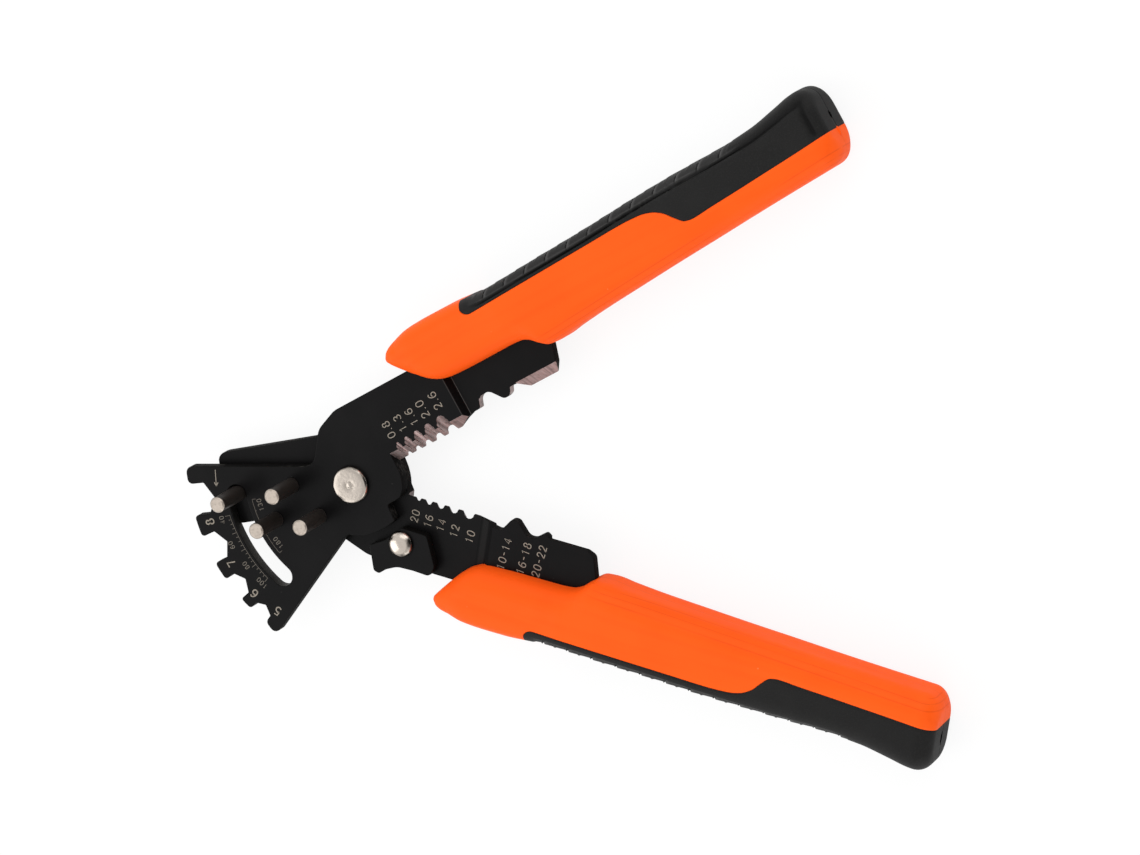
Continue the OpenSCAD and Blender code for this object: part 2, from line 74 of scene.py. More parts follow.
class Wire:
    # one output socket, usable in Python sums
    def __init__(self, graph, socket):
        self.graph, self.socket = graph, socket

    def __abs__(self):
        return self.graph.maths("ABSOLUTE", self)

    def __add__(self, other):
        return self.graph.maths("ADD", self, other)

    def __sub__(self, other):
        return self.graph.maths("SUBTRACT", self, other)

    def __mul__(self, other):
        return self.graph.maths("MULTIPLY", self, other)

    def __truediv__(self, other):
        return self.graph.maths("DIVIDE", self, other)

    def __pow__(self, other):
        return self.graph.maths("POWER", self, other)

    def __mod__(self, other):
        return self.graph.maths("MODULO", self, other)

    def __lt__(self, other):
        return self.graph.maths("LESS_THAN", self, other)

    def __radd__(self, other):
        return self.graph.maths("ADD", other, self)

    def __rsub__(self, other):
        return self.graph.maths("SUBTRACT", other, self)

    def __rmul__(self, other):
        return self.graph.maths("MULTIPLY", other, self)

    def __rtruediv__(self, other):
        return self.graph.maths("DIVIDE", other, self)

    def ease(self, low, high, start=0.0, end=1.0):
        # smooth step from start to end while the value goes from low to high
        return self.graph.add("ShaderNodeMapRange", {"interpolation_type": "SMOOTHSTEP"},
                              {0: self, 1: low, 2: high, 3: start, 4: end})

    def split(self, axis):
        return self.graph.add("ShaderNodeSeparateXYZ", {}, {0: self}, axis)


class Graph:
    # a node tree that is filled by one method
    def __init__(self, tree):
        self.tree = tree

    def add(self, kind, settings=None, sockets=None, out=0):
        # a list of wires all goes into one socket
        node = self.tree.nodes.new(kind)
        for key, value in (settings or {}).items():
            setattr(node, key, value)
        for key, value in (sockets or {}).items():
            for wire in value if isinstance(value, list) else [value]:
                if isinstance(wire, Wire):
                    self.tree.links.new(wire.socket, node.inputs[key])
                else:
                    node.inputs[key].default_value = wire
        return Wire(self, node.outputs[out]) if node.outputs else None

    def maths(self, operation, *values):
        return self.add("ShaderNodeMath", {"operation": operation}, dict(enumerate(values)))

    def vector(self, operation, first, second, out=0):
        return self.add("ShaderNodeVectorMath", {"operation": operation},
                        {0: first, ("Scale" if operation == "SCALE" else 1): second}, out)


class Tree(Graph):
    # Geometry Nodes with named inputs
    def __init__(self, name, values):
        super().__init__(bpy.data.node_groups.new(name, "GeometryNodeTree"))
        for key, value in {"Geometry": None, "Material": None, **values}.items():
            kind = key if value is None else "Int" if isinstance(value, int) else "Float"
            socket = self.tree.interface.new_socket(key, in_out="INPUT", socket_type="NodeSocket" + kind)
            if value is not None:
                socket.default_value = value
        self.tree.interface.new_socket("Geometry", in_out="OUTPUT", socket_type="NodeSocketGeometry")
        entry = self.tree.nodes.new("NodeGroupInput")
        self.given = {socket.name: Wire(self, socket) for socket in entry.outputs if socket.name}

    def close(self, geometry):
        whole = self.add("GeometryNodeRealizeInstances", {}, {0: geometry})
        painted = self.add("GeometryNodeSetMaterial", {},
                           {"Geometry": whole, "Material": self.given["Material"]})
        self.add("NodeGroupOutput", {}, {0: painted})
        return self.tree

    def ribbon(self, line):
        # a flat ribbon along a line
        size = {key: self.given[key] * mm for key in ("Width", "Height")}
        strip = self.add("GeometryNodeCurvePrimitiveQuadrilateral", {}, size)
        return self.add("GeometryNodeCurveToMesh", {},
                        {"Curve": line, "Profile Curve": strip, "Fill Caps": True})


def addTree(thing, tree, values, finish):
    # inputs go by their socket's identifier
    modifier = thing.modifiers.new(tree.name, "NODES")
    modifier.node_group = tree
    values = {**values, "Material": finishes[finish]}
    for item in tree.interface.items_tree:
        if item.in_out == "INPUT" and item.name in values:
            modifier[item.identifier] = values[item.name]


class Paint(Graph):
    # a material whose patterns lie on Object coordinates
    def __init__(self, name):
        self.material = bpy.data.materials.new(name)
        self.material.use_nodes = True
        super().__init__(self.material.node_tree)
        self.tree.nodes.clear()
        self.place = self.vector("SCALE", self.add("ShaderNodeTexCoord", out="Object"), 1 / mm)  # millimetres

    def show(self, shader):
        self.add("ShaderNodeOutputMaterial", {}, {0: shader})
        return self.material

    def surface(self, **values):
        names = {"colour": "Base Color", "roughness": "Roughness", "metallic": "Metallic", "normal": "Normal",
                 "specular": "Specular IOR Level"}
        sockets = {names[key]: value for key, value in values.items()}
        return self.show(self.add("ShaderNodeBsdfPrincipled", {}, sockets))

    def noise(self, scale, detail=2.0, roughness=0.5, at=None):
        return self.add("ShaderNodeTexNoise", {}, {
            "Vector": at or self.place, "Scale": scale, "Detail": detail, "Roughness": roughness})

    def turned(self, degrees, stretch=(1, 1, 1)):
        # places turned about Z, then stretched, for a grain that runs along a lever
        along = self.add("ShaderNodeMapping", {},
                         {"Vector": self.place, "Rotation": (0, 0, math.radians(degrees))})
        return self.vector("MULTIPLY", along, stretch)

    def specks(self, pitch, size, share):
        # small round flecks, in some cells only: 1 inside a fleck
        cells = {"Vector": self.place, "Scale": 1.0 / pitch}
        distance = self.add("ShaderNodeTexVoronoi", {}, cells, "Distance")
        draws = self.add("ShaderNodeTexVoronoi", {}, cells, "Color")
        chance = self.add("ShaderNodeSeparateColor", {}, {0: draws})
        return distance.ease(size, size * 0.4) * (chance < share)

    def blend(self, factor, first, second):
        # colours are wires or three numbers
        first, second = (value if isinstance(value, Wire) else (*value, 1) for value in (first, second))
        return self.add("ShaderNodeMix", {"data_type": "RGBA"}, {0: factor, 6: first, 7: second}, 2)

    def stripe(self, value, middle, half, sharp=0.3):
        # 1 where the value is near the middle
        return abs(value - middle).ease(half, half * sharp)

    def seam(self, width):
        # the mould's parting line, which lies in the middle plane
        return self.stripe(self.place.split("Z"), toolSizes["middle"], width)

    def bump(self, height, depth, strength=1.0, under=None):
        # height is 0 to 1, depth in mm
        sockets = {"Strength": strength, "Distance": depth * mm, "Height": height}
        if under:
            sockets["Normal"] = under
        return self.add("ShaderNodeBump", {}, sockets)


# facetShadeLines are darker lines painted along the inner rounding as the shade where its facets meet: the
# distance of each from the inner side and its half width
orangeValues = {"colour": (1.0, 0.112, 0.008), "deep": (0.95, 0.088, 0.005), "pale": (1.0, 0.26, 0.09),
                "dirt": (0.30, 0.03, 0.004), "line": (0.62, 0.035, 0.003), "roughness": 0.44,
                "grainDepth": 0.006, "speckPitch": 3.1, "speckSize": 0.085, "seam": 0.10, "innerSide": 2.75,
                "linesFrom": (64.0, 70.0), "facetShadeLines": ((0.75, 0.10), (1.7, 0.12), (3.1, 0.22))}


def orangePlastic(name, turn, slope):
    # slope is how the inner side rises along the lever
    paint = Paint(name)
    v = orangeValues
    cloud = paint.noise(0.06, 3.0)
    streaks = paint.noise(1.0, at=paint.turned(-turn, (0.02, 0.55, 0.55)))
    grain = paint.noise(5.5, 3.0, 0.6)
    tone = cloud.ease(0.35, 0.75) * 0.35 + streaks.ease(0.45, 0.72) * 0.25
    colour = paint.blend(tone, v["colour"], v["deep"])
    paleSpecks = paint.specks(v["speckPitch"] * 1.7, v["speckSize"] * 0.6, 0.12)
    colour = paint.blend(paleSpecks * 0.55, colour, v["pale"])
    dirtSpecks = paint.specks(v["speckPitch"], v["speckSize"] * 0.5, 0.10)
    colour = paint.blend(dirtSpecks * 0.6, colour, v["dirt"])
    lever = paint.turned(-turn)
    inward = abs(lever.split("Y")) - lever.split("X") * slope - v["innerSide"]
    seam = paint.seam(v["seam"])
    broken = lever.split("X").ease(*v["linesFrom"]) * streaks.ease(0.30, 0.5) * 0.6
    # painted shade: darker lines along the inner rounding, joined to the parting line's mask
    for offset, half in v["facetShadeLines"]:
        seam = paint.maths("MAXIMUM", seam, paint.stripe(inward, offset, half) * broken)
    marks = paint.bump(streaks, 0.05, 0.35, paint.bump(grain, v["grainDepth"]))
    return paint.surface(colour=paint.blend(seam * 0.45, colour, v["line"]), specular=0.08,
                         roughness=v["roughness"] + (grain - 0.5) * 0.10 + (streaks - 0.5) * 0.10,
                         normal=paint.bump(1.0 - seam, 0.05, 0.6, marks))


inlayValues = {"colour": (0.0088, 0.0086, 0.0084), "pale": (0.0165, 0.0160, 0.0157),
               "dust": (0.12, 0.115, 0.11), "rubbedAndLit": (0.085, 0.083, 0.082),
               "deep": (0.0018, 0.0018, 0.0018), "roughness": 0.54, "seam": 0.46, "grainPitch": 0.30,
               "grainDepth": 0.035}


def softRubber(name):
    paint = Paint(name)
    v = inlayValues
    grain = paint.noise(1.0 / v["grainPitch"], 3.0, 0.65)
    cloud = paint.noise(0.12)
    # the tread's crests are pale from rubbing and from painted highlight, the panel's valley and the tread's
    # grooves are darkened with painted shade, and the mould's parting line is dark
    crest, valley = (paint.add("ShaderNodeAttribute", {"attribute_name": key}, {}, "Fac")
                     for key in ("crest", "crease"))
    seam = paint.seam(v["seam"])
    colour = paint.blend(grain.ease(0.45, 0.72), v["colour"], v["pale"])
    colour = paint.blend(cloud.ease(0.4, 0.8) * 0.3, colour, v["pale"])
    colour = paint.blend(paint.specks(2.6, 0.035, 0.20) * 0.7, colour, v["dust"])
    # painted highlight and rubbing on the crests and rim, painted shade in the valley and grooves
    colour = paint.blend(crest * 0.75, colour, v["rubbedAndLit"])
    colour = paint.blend(paint.maths("MAXIMUM", seam, valley * 0.95), colour, v["deep"])
    return paint.surface(colour=colour, roughness=v["roughness"] + (grain - 0.5) * 0.22, specular=0.13,
                         normal=paint.bump(1.0 - seam, 0.10, 0.8, paint.bump(grain, v["grainDepth"])))


slitShadowValues = {"deep": (0.0008, 0.0008, 0.0008), "pale": (0.0035, 0.0034, 0.0033), "roughness": 0.8}


def slitShadowPaint(name):
    # the shadow in a slit too fine to cut
    paint = Paint(name)
    tone = paint.noise(3.0)
    return paint.surface(colour=paint.blend(tone, slitShadowValues["deep"], slitShadowValues["pale"]),
                         roughness=slitShadowValues["roughness"] + tone * 0.2, specular=0.0)


coatValues = {"colour": (0.0040, 0.0038, 0.0040), "pale": (0.0068, 0.0064, 0.0066),
              "dust": (0.10, 0.095, 0.09), "fleck": (0.22, 0.21, 0.20), "roughness": 0.36,
              "peelDepth": 0.010}
# marks across a lever, painted shade and highlights with one paler band: place and half width in mm from the
# pivot, colour, strength
# upper lever: painted shade on the joggle's slope and painted highlights along its two edges
upperLines = [(37.0, 0.66, (0.0015, 0.0015, 0.0015), 0.75), (36.32, 0.13, (0.050, 0.048, 0.046), 0.75),
              (37.68, 0.11, (0.075, 0.072, 0.068), 0.85)]
# lower lever: a paler band, and painted shade along a scored line and along the joggle's edge
lowerLines = [(35.25, 0.85, (0.016, 0.0155, 0.015), 0.5), (34.1, 0.17, (0.0012, 0.0012, 0.0012), 0.8),
              (36.25, 0.12, (0.0012, 0.0012, 0.0012), 0.7)]


def blackCoat(name, turn=0.0, lines=()):
    paint = Paint(name)
    v = coatValues
    cloud = paint.noise(0.09, 3.0)
    peel = paint.noise(2.4)
    along = paint.turned(turn).split("X")
    colour = paint.blend(cloud.ease(0.4, 0.75) * 0.6, v["colour"], v["pale"])
    colour = paint.blend(paint.specks(2.3, 0.045, 0.13) * 0.8, colour, v["dust"])
    colour = paint.blend(paint.specks(5.2, 0.030, 0.35) * 0.8, colour, v["fleck"])
    # painted shade and highlights across the lever, from the lines given
    for place, half, tint, strength in lines:
        line = paint.stripe(along, place, half, 0.6) * (peel * 0.3 + strength - 0.15)
        colour = paint.blend(line, colour, tint)
    return paint.surface(colour=colour, roughness=v["roughness"] + (cloud - 0.5) * 0.16 + (peel - 0.5) * 0.08,
                         normal=paint.bump(peel, v["peelDepth"]), specular=0.08)


edgeValues = {"colour": (0.0055, 0.0052, 0.0050), "scuff": (0.050, 0.047, 0.043), "roughness": 0.6}


def shearedEdge(name):
    # the thickness of a blacked sheet, with grey patches that are scuffing and painted highlight
    paint = Paint(name)
    v = edgeValues
    tears = paint.noise(1.0, 3.0, 0.6, at=paint.turned(0, (0.9, 0.9, 2.4)))
    patch = paint.noise(0.16, 3.0)
    # grey patches: scuffing and painted highlight on the sheet's edges
    colour = paint.blend(tears.ease(0.46, 0.64) * patch.ease(0.52, 0.70), v["colour"], v["scuff"])
    return paint.surface(colour=colour, roughness=v["roughness"] + (tears - 0.5) * 0.2,
                         normal=paint.bump(tears, 0.035), specular=0.03)


groundValues = {"colour": (0.39, 0.31, 0.30), "dark": (0.11, 0.080, 0.075), "roughness": 0.40,
                "linePitch": 0.55}
wornValues = {"colour": (0.040, 0.036, 0.032), "dark": (0.012, 0.011, 0.011), "roughness": 0.5,
              "linePitch": 1.6}


def groundSteel(name, turn, v=groundValues):
    paint = Paint(name)
    lines = paint.noise(1.0, 2.0, 0.6, at=paint.turned(turn, (1.0 / v["linePitch"], 0.12, 0.12)))
    tone = lines.ease(0.35, 0.68) * 0.55 + paint.noise(0.9, 3.0).ease(0.5, 0.75) * 0.45
    return paint.surface(colour=paint.blend(tone, v["colour"], v["dark"]), metallic=0.7,
                         roughness=v["roughness"] + (lines - 0.5) * 0.22, normal=paint.bump(lines, 0.03))


# rim is the colour of the painted dark reflection on a head's edge
nickelValues = {"colour": (0.47, 0.42, 0.37), "stain": (0.24, 0.20, 0.16), "rim": (0.045, 0.038, 0.033),
                "roughness": 0.19, "ringPitch": 0.16}


def polishedNickel(name, rim, centre=(0.0, 0.0), scuff=1.0, paintedLight=1.0):
    # rim is where the painted dark reflection lies, in mm from the centre
    paint = Paint(name)
    v = nickelValues
    across, along = (paint.place.split(axis) - middle for axis, middle in zip("XY", centre))
    away = (across * across + along * along) ** 0.5
    rings = paint.noise(1.0 / v["ringPitch"], at=paint.add("ShaderNodeCombineXYZ", {}, {0: away}))
    blotch = paint.noise(1.3, 4.0, 0.62)
    darkReflectionPatches = paint.noise(0.33)
    worn = away.ease(0.55, 0.95) * away.ease(1.55, 1.05) * blotch.ease(0.42, 0.60) * scuff
    spots = paint.specks(0.9, 0.12, 0.16) * scuff
    # paintedLight scales the colour up: a lighter copy of the same nickel, as painted light
    colour = paint.blend(worn * 0.45 + spots * 0.65, [tone * paintedLight for tone in v["colour"]], v["stain"])
    # painted dark reflection: a ring at the rim, broken into patches
    colour = paint.blend(away.ease(*rim) * darkReflectionPatches.ease(0.36, 0.60) * 0.92, colour, v["rim"])
    rough = v["roughness"] + (blotch - 0.5) * 0.16 + worn * 0.25 + (rings - 0.5) * 0.08
    height = rings * 0.12 + blotch * 0.55 - worn * 0.6
    return paint.surface(colour=colour, roughness=rough, metallic=1.0,
                         normal=paint.bump(height, 0.035 * scuff + 0.006))


pinValues = {"side": (0.028, 0.023, 0.020), "sideWorn": (0.045, 0.035, 0.030), "end": (0.46, 0.40, 0.345),
             "stain": (0.29, 0.25, 0.215), "endHeight": 18.72, "roughness": 0.33}


def pinSteel(name):
    paint = Paint(name)
    v = pinValues
    blotch = paint.noise(1.6, 4.0, 0.6)
    turning = paint.noise(1.0, at=paint.turned(0, (0.3, 0.3, 3.2)))
    bare = (paint.place.split("Z") + (blotch - 0.5) * 0.22).ease(v["endHeight"] - 0.05, v["endHeight"] + 0.05)
    colour = paint.blend(bare, paint.blend(turning.ease(0.5, 0.8) * 0.5, v["side"], v["sideWorn"]),
                         paint.blend(blotch.ease(0.48, 0.72) * 0.6, v["end"], v["stain"]))
    return paint.surface(colour=colour, roughness=v["roughness"] + bare * 0.10 + (turning - 0.5) * 0.12,
                         metallic=bare * 0.55 + 0.30,
                         normal=paint.bump(blotch * bare + turning * (1 - bare) * 0.35, 0.045))


plainValues = {"colour": (0.42, 0.40, 0.37), "dark": (0.20, 0.18, 0.165), "roughness": 0.38}


def plainSteel(name):
    paint = Paint(name)
    v = plainValues
    grain = paint.noise(1.8, 4.0, 0.6)
    return paint.surface(colour=paint.blend(grain.ease(0.42, 0.7), v["colour"], v["dark"]), metallic=0.9,
                         roughness=v["roughness"] + (grain - 0.5) * 0.2, normal=paint.bump(grain, 0.012))


etchValues = {"colour": (0.30, 0.262, 0.215), "faded": (0.10, 0.090, 0.076), "roughness": 0.6}
faintValues = {"colour": (0.17, 0.148, 0.122), "faded": (0.05, 0.045, 0.04), "roughness": 0.6}


def etchedMark(name, v):
    paint = Paint(name)
    patch = paint.noise(1.5, 4.0, 0.7)
    fine = paint.noise(6.0)
    colour = paint.blend(patch.ease(0.52, 0.75) * 0.6 + fine.ease(0.5, 0.7) * 0.2, v["colour"], v["faded"])
    return paint.surface(colour=colour, roughness=v["roughness"] + (fine - 0.5) * 0.15,
                         normal=paint.bump(fine, 0.01), specular=0.3)


turn = toolSizes["halfOpen"]
finishes = {paint.name: paint for paint in (
    orangePlastic("upperOrange", turn, 0.0609), orangePlastic("lowerOrange", -turn, 0.0461),
    softRubber("rubber"), slitShadowPaint("hollow"), blackCoat("coat"), shearedEdge("edge"),
    blackCoat("upperCoat", -turn, upperLines), blackCoat("lowerCoat", turn, lowerLines),
    groundSteel("worn", -turn, wornValues), groundSteel("upperGround", -turn), groundSteel("lowerGround", turn),
    polishedNickel("pivotNickel", (4.15, 4.45)),
    # the latch rivet's nickel is a lighter copy, painted light on its dome
    polishedNickel("latchNickel", (1.9, 2.6), (10.20, -16.00), 0.25, 1.3), pinSteel("pin"), plainSteel("plain"),
    etchedMark("etch", etchValues), etchedMark("faint", faintValues))}
print("finishes made:", len(finishes))


def held(value):
    return max(0.0, min(1.0, value))


def linked(name, data):
    item = bpy.data.objects.new(name, data)
    bpy.context.scene.collection.objects.link(item)
    return item


def shade(mesh, limit=32.0, flatFaces=False):
    # smooth, with edges above the limit kept sharp, and those round flat faces if asked
    work = bmesh.new()
    work.from_mesh(mesh)
    for face in work.faces:
        face.smooth = True
    for edge in work.edges:
        edge.smooth = len(edge.link_faces) == 2 and edge.calc_face_angle(0) < math.radians(limit)
        if flatFaces and edge.smooth:
            flats = [abs(face.normal.z) > 0.9995 for face in edge.link_faces]
            edge.smooth = flats[0] == flats[1]
    work.to_mesh(mesh)
    work.free()


def settled(thing):
    # its modifiers worked into a plain mesh
    return bpy.data.meshes.new_from_object(thing.evaluated_get(bpy.context.evaluated_depsgraph_get()))


def fitPiece(piece, body, node=None, place=None, limit=None, flatFaces=False):
    # a finished piece, which rides on a body, in place of a CAD node or as part of one
    if piece.modifiers:
        mesh = settled(piece)
        piece.modifiers.clear()
        piece.data = mesh
    if place:
        piece.data.transform(place)
    if limit:
        shade(piece.data, limit, flatFaces)
    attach(piece, body)
    if node:
        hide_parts(node)


def ringMesh(name, rings, material=None):
    # closed tube from rings of equal length, in mm, with a flat face at each end
    count, last = len(rings[0]), (len(rings) - 1) * len(rings[0])
    faces = [(row + i, row + (i + 1) % count, row + count + (i + 1) % count, row + count + i)
             for row in range(0, last, count) for i in range(count)]
    faces += [tuple(reversed(range(count))), tuple(range(last, last + count))]
    mesh = bpy.data.meshes.new(name)
    mesh.from_pydata([tuple(value * mm for value in point) for ring in rings for point in ring], [], faces)
    work = bmesh.new()
    work.from_mesh(mesh)
    bmesh.ops.recalc_face_normals(work, faces=work.faces)
    work.to_mesh(mesh)
    work.free()
    if material:
        mesh.materials.append(material)
    return mesh


# stamped steel: softened copies of the CAD sheets, with the places of their bare walls in mm from the pivot
steelValues = {"edge": 0.16, "segments": 3, "merge": 0.002, "flatTurn": 0.8, "strip": (13.2, 36.4),
               "stripRise": (-0.6, 5.6), "cutterFrom": 50, "crimp": (39.6, 53), "slotReach": (29, 36),
               "slotTurn": (157, 206)}


def stampedCopy(node, name, body, side, coat, ground="plain", flip=False):
    v = steelValues
    work = bmesh.new()
    work.from_mesh(nodes[node].data)
    bmesh.ops.remove_doubles(work, verts=work.verts, dist=v["merge"] * mm)
    bmesh.ops.dissolve_limit(work, angle_limit=math.radians(v["flatTurn"]), verts=work.verts,
                             edges=work.edges)
    back = leverPlace(side, flip).inverted()
    weight = work.edges.layers.float.new("bevel_weight_edge")

    def finishOf(face):
        # 0 coat, 1 ground: the stripping edge, the cutter and the upper crimping forms,
        # 2 worn: where the pin runs in the curved slot, 3 the sheet's thickness
        centre, normal = back @ face.calc_center_median() / mm, back.to_3x3() @ face.normal
        away, angle = math.hypot(centre.x, centre.y), math.degrees(math.atan2(centre.y, centre.x)) % 360
        strip = v["strip"][0] < centre.x < v["strip"][1] and v["stripRise"][0] < centre.y < v["stripRise"][1]
        strip = strip and centre.z > 0.12 and abs(normal.z) < 0.97
        if ground != "plain" and (strip or centre.x > v["cutterFrom"] and normal.y < -0.3 and normal.z > 0.3):
            bare.add(face)
            return 1
        if abs(face.normal.z) > 0.15:
            return 0
        if side == "upper" and v["crimp"][0] < centre.x < v["crimp"][1] and normal.x > 0.3 and centre.y < 6:
            return 1
        slot = v["slotReach"][0] < away < v["slotReach"][1] and v["slotTurn"][0] < angle < v["slotTurn"][1]
        return 2 if side == "upper" and slot else 3

    bare = set()
    for face in work.faces:
        face.smooth, face.material_index = True, finishOf(face)
    for edge in work.edges:
        slopes = sorted(abs(face.normal.z) for face in edge.link_faces)
        corner = len(slopes) == 2 and slopes[1] > 0.97 and slopes[0] < 0.15
        if corner and not bare.intersection(edge.link_faces):
            edge[weight] = 1.0
    mesh = bpy.data.meshes.new(name)
    work.to_mesh(mesh)
    work.free()
    for finish in (coat, ground, "worn", "edge"):
        mesh.materials.append(finishes[finish])
    piece = linked(name, mesh)
    bevel = piece.modifiers.new("edge", "BEVEL")
    bevel.width, bevel.segments, bevel.limit_method = v["edge"] * mm, v["segments"], "WEIGHT"
    bevel.use_clamp_overlap = bevel.harden_normals = False
    fitPiece(piece, body, node, limit=32, flatFaces=True)


stampedCopy("front_lever", "frontLever", "upper_lever", "upper", "upperCoat", "upperGround")
stampedCopy("back_lever", "backLever", "lower_lever", "lower", "lowerCoat", "lowerGround", True)
stampedCopy("latch", "latchPlate", "latch", "lower", "coat")
print("stamped steel made")


# rivets turned on a lathe; punch is the radius and depth of the ring that it left
pivotValues = {"foot": 0.0, "backFace": 1.26, "frontFace": 7.98, "top": 9.38, "head": 4.70, "shank": 2.8,
               "crown": 0.03, "bevel": 0.50, "rim": 0.62, "steps": 96,
               "punch": ((0.92, 0.02), (0.84, 0.09), (0.66, 0.10), (0.52, 0.05), (0.30, 0.01), (0.02, 0.0))}
latchRivetValues = {"foot": 1.11, "backFace": 1.86, "seat": 7.70, "head": 3.30, "shank": 1.61, "dome": 1.90,
                    "steps": 72}


def lathed(name, profile, centre, steps, finish, node):
    # profile is a list of radius and height in mm, from the axis round to the axis
    rings = [[(centre[0] + radius * math.cos(2 * math.pi * i / steps),
               centre[1] + radius * math.sin(2 * math.pi * i / steps), height) for i in range(steps)]
             for radius, height in profile]
    fitPiece(linked(name, ringMesh(name, rings, finishes[finish])), "lower_lever", node, limit=38)


def arcPoints(cx, cz, width, height, angles):
    return [(cx + width * math.cos(math.radians(a)), cz + height * math.sin(math.radians(a))) for a in angles]


def pivotProfile(v):
    # the back head, the shank and the front head with its punched ring
    head, shank, top = v["head"], v["shank"], v["top"] - v["crown"]
    inner, rim = head - v["bevel"], v["frontFace"] + v["rim"]
    return ([(0.02, v["foot"]), (inner - 0.15, v["foot"])]
            + arcPoints(inner, v["foot"] + 0.15, 0.15, 0.15, [-90 + 35 * i / 3 for i in range(4)])
            + [(head - 0.06, v["foot"] + 0.72), (head, v["foot"] + 0.85), (head, v["backFace"]),
               (shank, v["backFace"]), (shank, v["frontFace"]), (head, v["frontFace"]), (head, rim),
               (head - 0.06, rim + 0.16), (inner + 0.12, top - 0.10), (inner, top - 0.02)]
            + [(inner * share, v["top"] - v["crown"] * share * share) for share in (0.97, 0.75, 0.5, 0.26)]
            + [(radius, v["top"] - drop) for radius, drop in v["punch"]])


def latchRivetProfile(v):
    tail, low = v["shank"] * 1.5, v["seat"] + 0.06
    return ([(0.02, v["foot"]), (tail, v["foot"]), (tail, v["backFace"]), (v["shank"], v["backFace"]),
             (v["shank"], v["seat"]), (v["head"] - 0.05, v["seat"]), (v["head"], low)]
            + arcPoints(0, low, v["head"], v["dome"], range(6, 90, 6)) + [(0.02, low + v["dome"])])


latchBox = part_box("latch_rivet")
latchCentre = [(latchBox[0][i] + latchBox[1][i]) / 2 / mm for i in (0, 1)]
lathed("pivotRivet", pivotProfile(pivotValues), (0, 0), pivotValues["steps"], "pivotNickel", "pivot_rivet")
lathed("latchRivet", latchRivetProfile(latchRivetValues), latchCentre, latchRivetValues["steps"],
       "latchNickel", "latch_rivet")
keptNodes = {"plain": ("pivot_bush", "pivot_washer", "torsion_spring"), "coat": ("latch_washer",),
             "pin": ("slot_pin", "upper_pin", "middle_pin", "lower_pin")}
for finish, sameFinish in keptNodes.items():
    for node in sameFinish:
        for slot in nodes[node].material_slots:
            slot.material = finishes[finish]
print("rivets and pins made")


# moulded grips: their sides along the lever, in mm from the pivot: place and distance from the jaw line
gripValues = {
    "inner": [(26.1, 21.7), (27.2, 20.2), (28.9, 18.0), (31.3, 15.2), (34.1, 13.0), (36.6, 11.95),
              (39.5, 11.55), (46, 11.4), (52, 11.42), (57, 11.45), (60.5, 11.2), (62.9, 10.2), (65.1, 8.3),
              (66.9, 7.2), (69.8, 7.0), (74, 7.5), (82, 8.25), (92, 8.9), (104, 9.65), (116, 10.3),
              (128.3, 11.0), (138.4, 11.5), (146.4, 11.85), (156.8, 12.3)],
    "outer": [(26.1, 23.1), (27.2, 24.4), (28.9, 25.4), (31.3, 26.2), (34.1, 26.8), (36.6, 27.0),
              (40, 27.1), (46, 27.05), (52, 26.6), (57, 26.2), (62, 26.35), (74, 26.85), (82, 27.1),
              (92, 27.5), (104, 28.15), (116, 28.55), (128.3, 28.6), (138.4, 29.2), (146.4, 30.6),
              (151, 31.5), (156.8, 31.95)],
    "half": [(26.1, 4.8), (27.2, 5.75), (28.9, 6.3), (31.3, 6.65), (34.1, 6.9), (36.6, 7.0), (39.5, 7.1),
             (46, 7.35), (52, 7.6), (57, 7.84), (60.6, 8.0), (100, 8.0), (156.8, 8.0)],
    "border": [(54.0, 22.75), (72, 23.3), (90, 23.8), (101, 24.1), (105.5, 23.9), (108.6, 23.2),
               (111.2, 21.7), (113.4, 19.3), (115.2, 17.7), (117.4, 17.3), (122.5, 17.65), (130.5, 18.1),
               (138.5, 18.6), (146.5, 19.1), (152, 19.5), (156.8, 19.9)],
    "noseStart": 26.1, "noseEnd": 36, "inlayStart": 51.4, "inlayRound": 2.6, "inlayEnd": 156.8,
    "treadStart": 2.2, "treadEnd": 134.5, "treadDepth": 1.85, "rearOver": 16, "edge": 4.0, "rearEdge": 5.6,
    "rearFrom": 96, "innerEdge": 5.4, "endRound": 4.6, "lip": 0.16, "lean": 0.85, "step": 0.28,
    "noseStep": 0.25, "innerCount": 26, "outerCount": 30,
}


def through(points):
    # smooth curve through points that doesn't overshoot
    xs, ys = [p[0] for p in points], [p[1] for p in points]
    slopes = [(ys[i + 1] - ys[i]) / (xs[i + 1] - xs[i]) for i in range(len(xs) - 1)]
    tangents = [slopes[0]]
    for left, right in zip(slopes, slopes[1:]):
        tangents.append(0.0 if left * right <= 0 else 2 * left * right / (left + right))
    tangents.append(slopes[-1])

    def value(x):
        if x <= xs[0]:
            return ys[0]
        if x >= xs[-1]:
            return ys[-1]
        i = max(k for k in range(len(xs) - 1) if xs[k] <= x)
        width = xs[i + 1] - xs[i]
        t = (x - xs[i]) / width
        return ((2 * t ** 3 - 3 * t ** 2 + 1) * ys[i] + (t ** 3 - 2 * t ** 2 + t) * width * tangents[i]
                + (3 * t ** 2 - 2 * t ** 3) * ys[i + 1] + (t ** 3 - t ** 2) * width * tangents[i + 1])
    return value


gripCurves = {key: through(gripValues[key]) for key in ("inner", "outer", "half", "border")}


def borderAt(x):
    # the inlay's edge on the faces, with a round start
    first, height = gripValues["border"][0]
    if x < first:
        reach = held((first - x) / (first - gripValues["inlayStart"]))
        return height + gripValues["inlayRound"] * (1 - math.sqrt(1 - reach * reach))
    return gripCurves["border"](x)


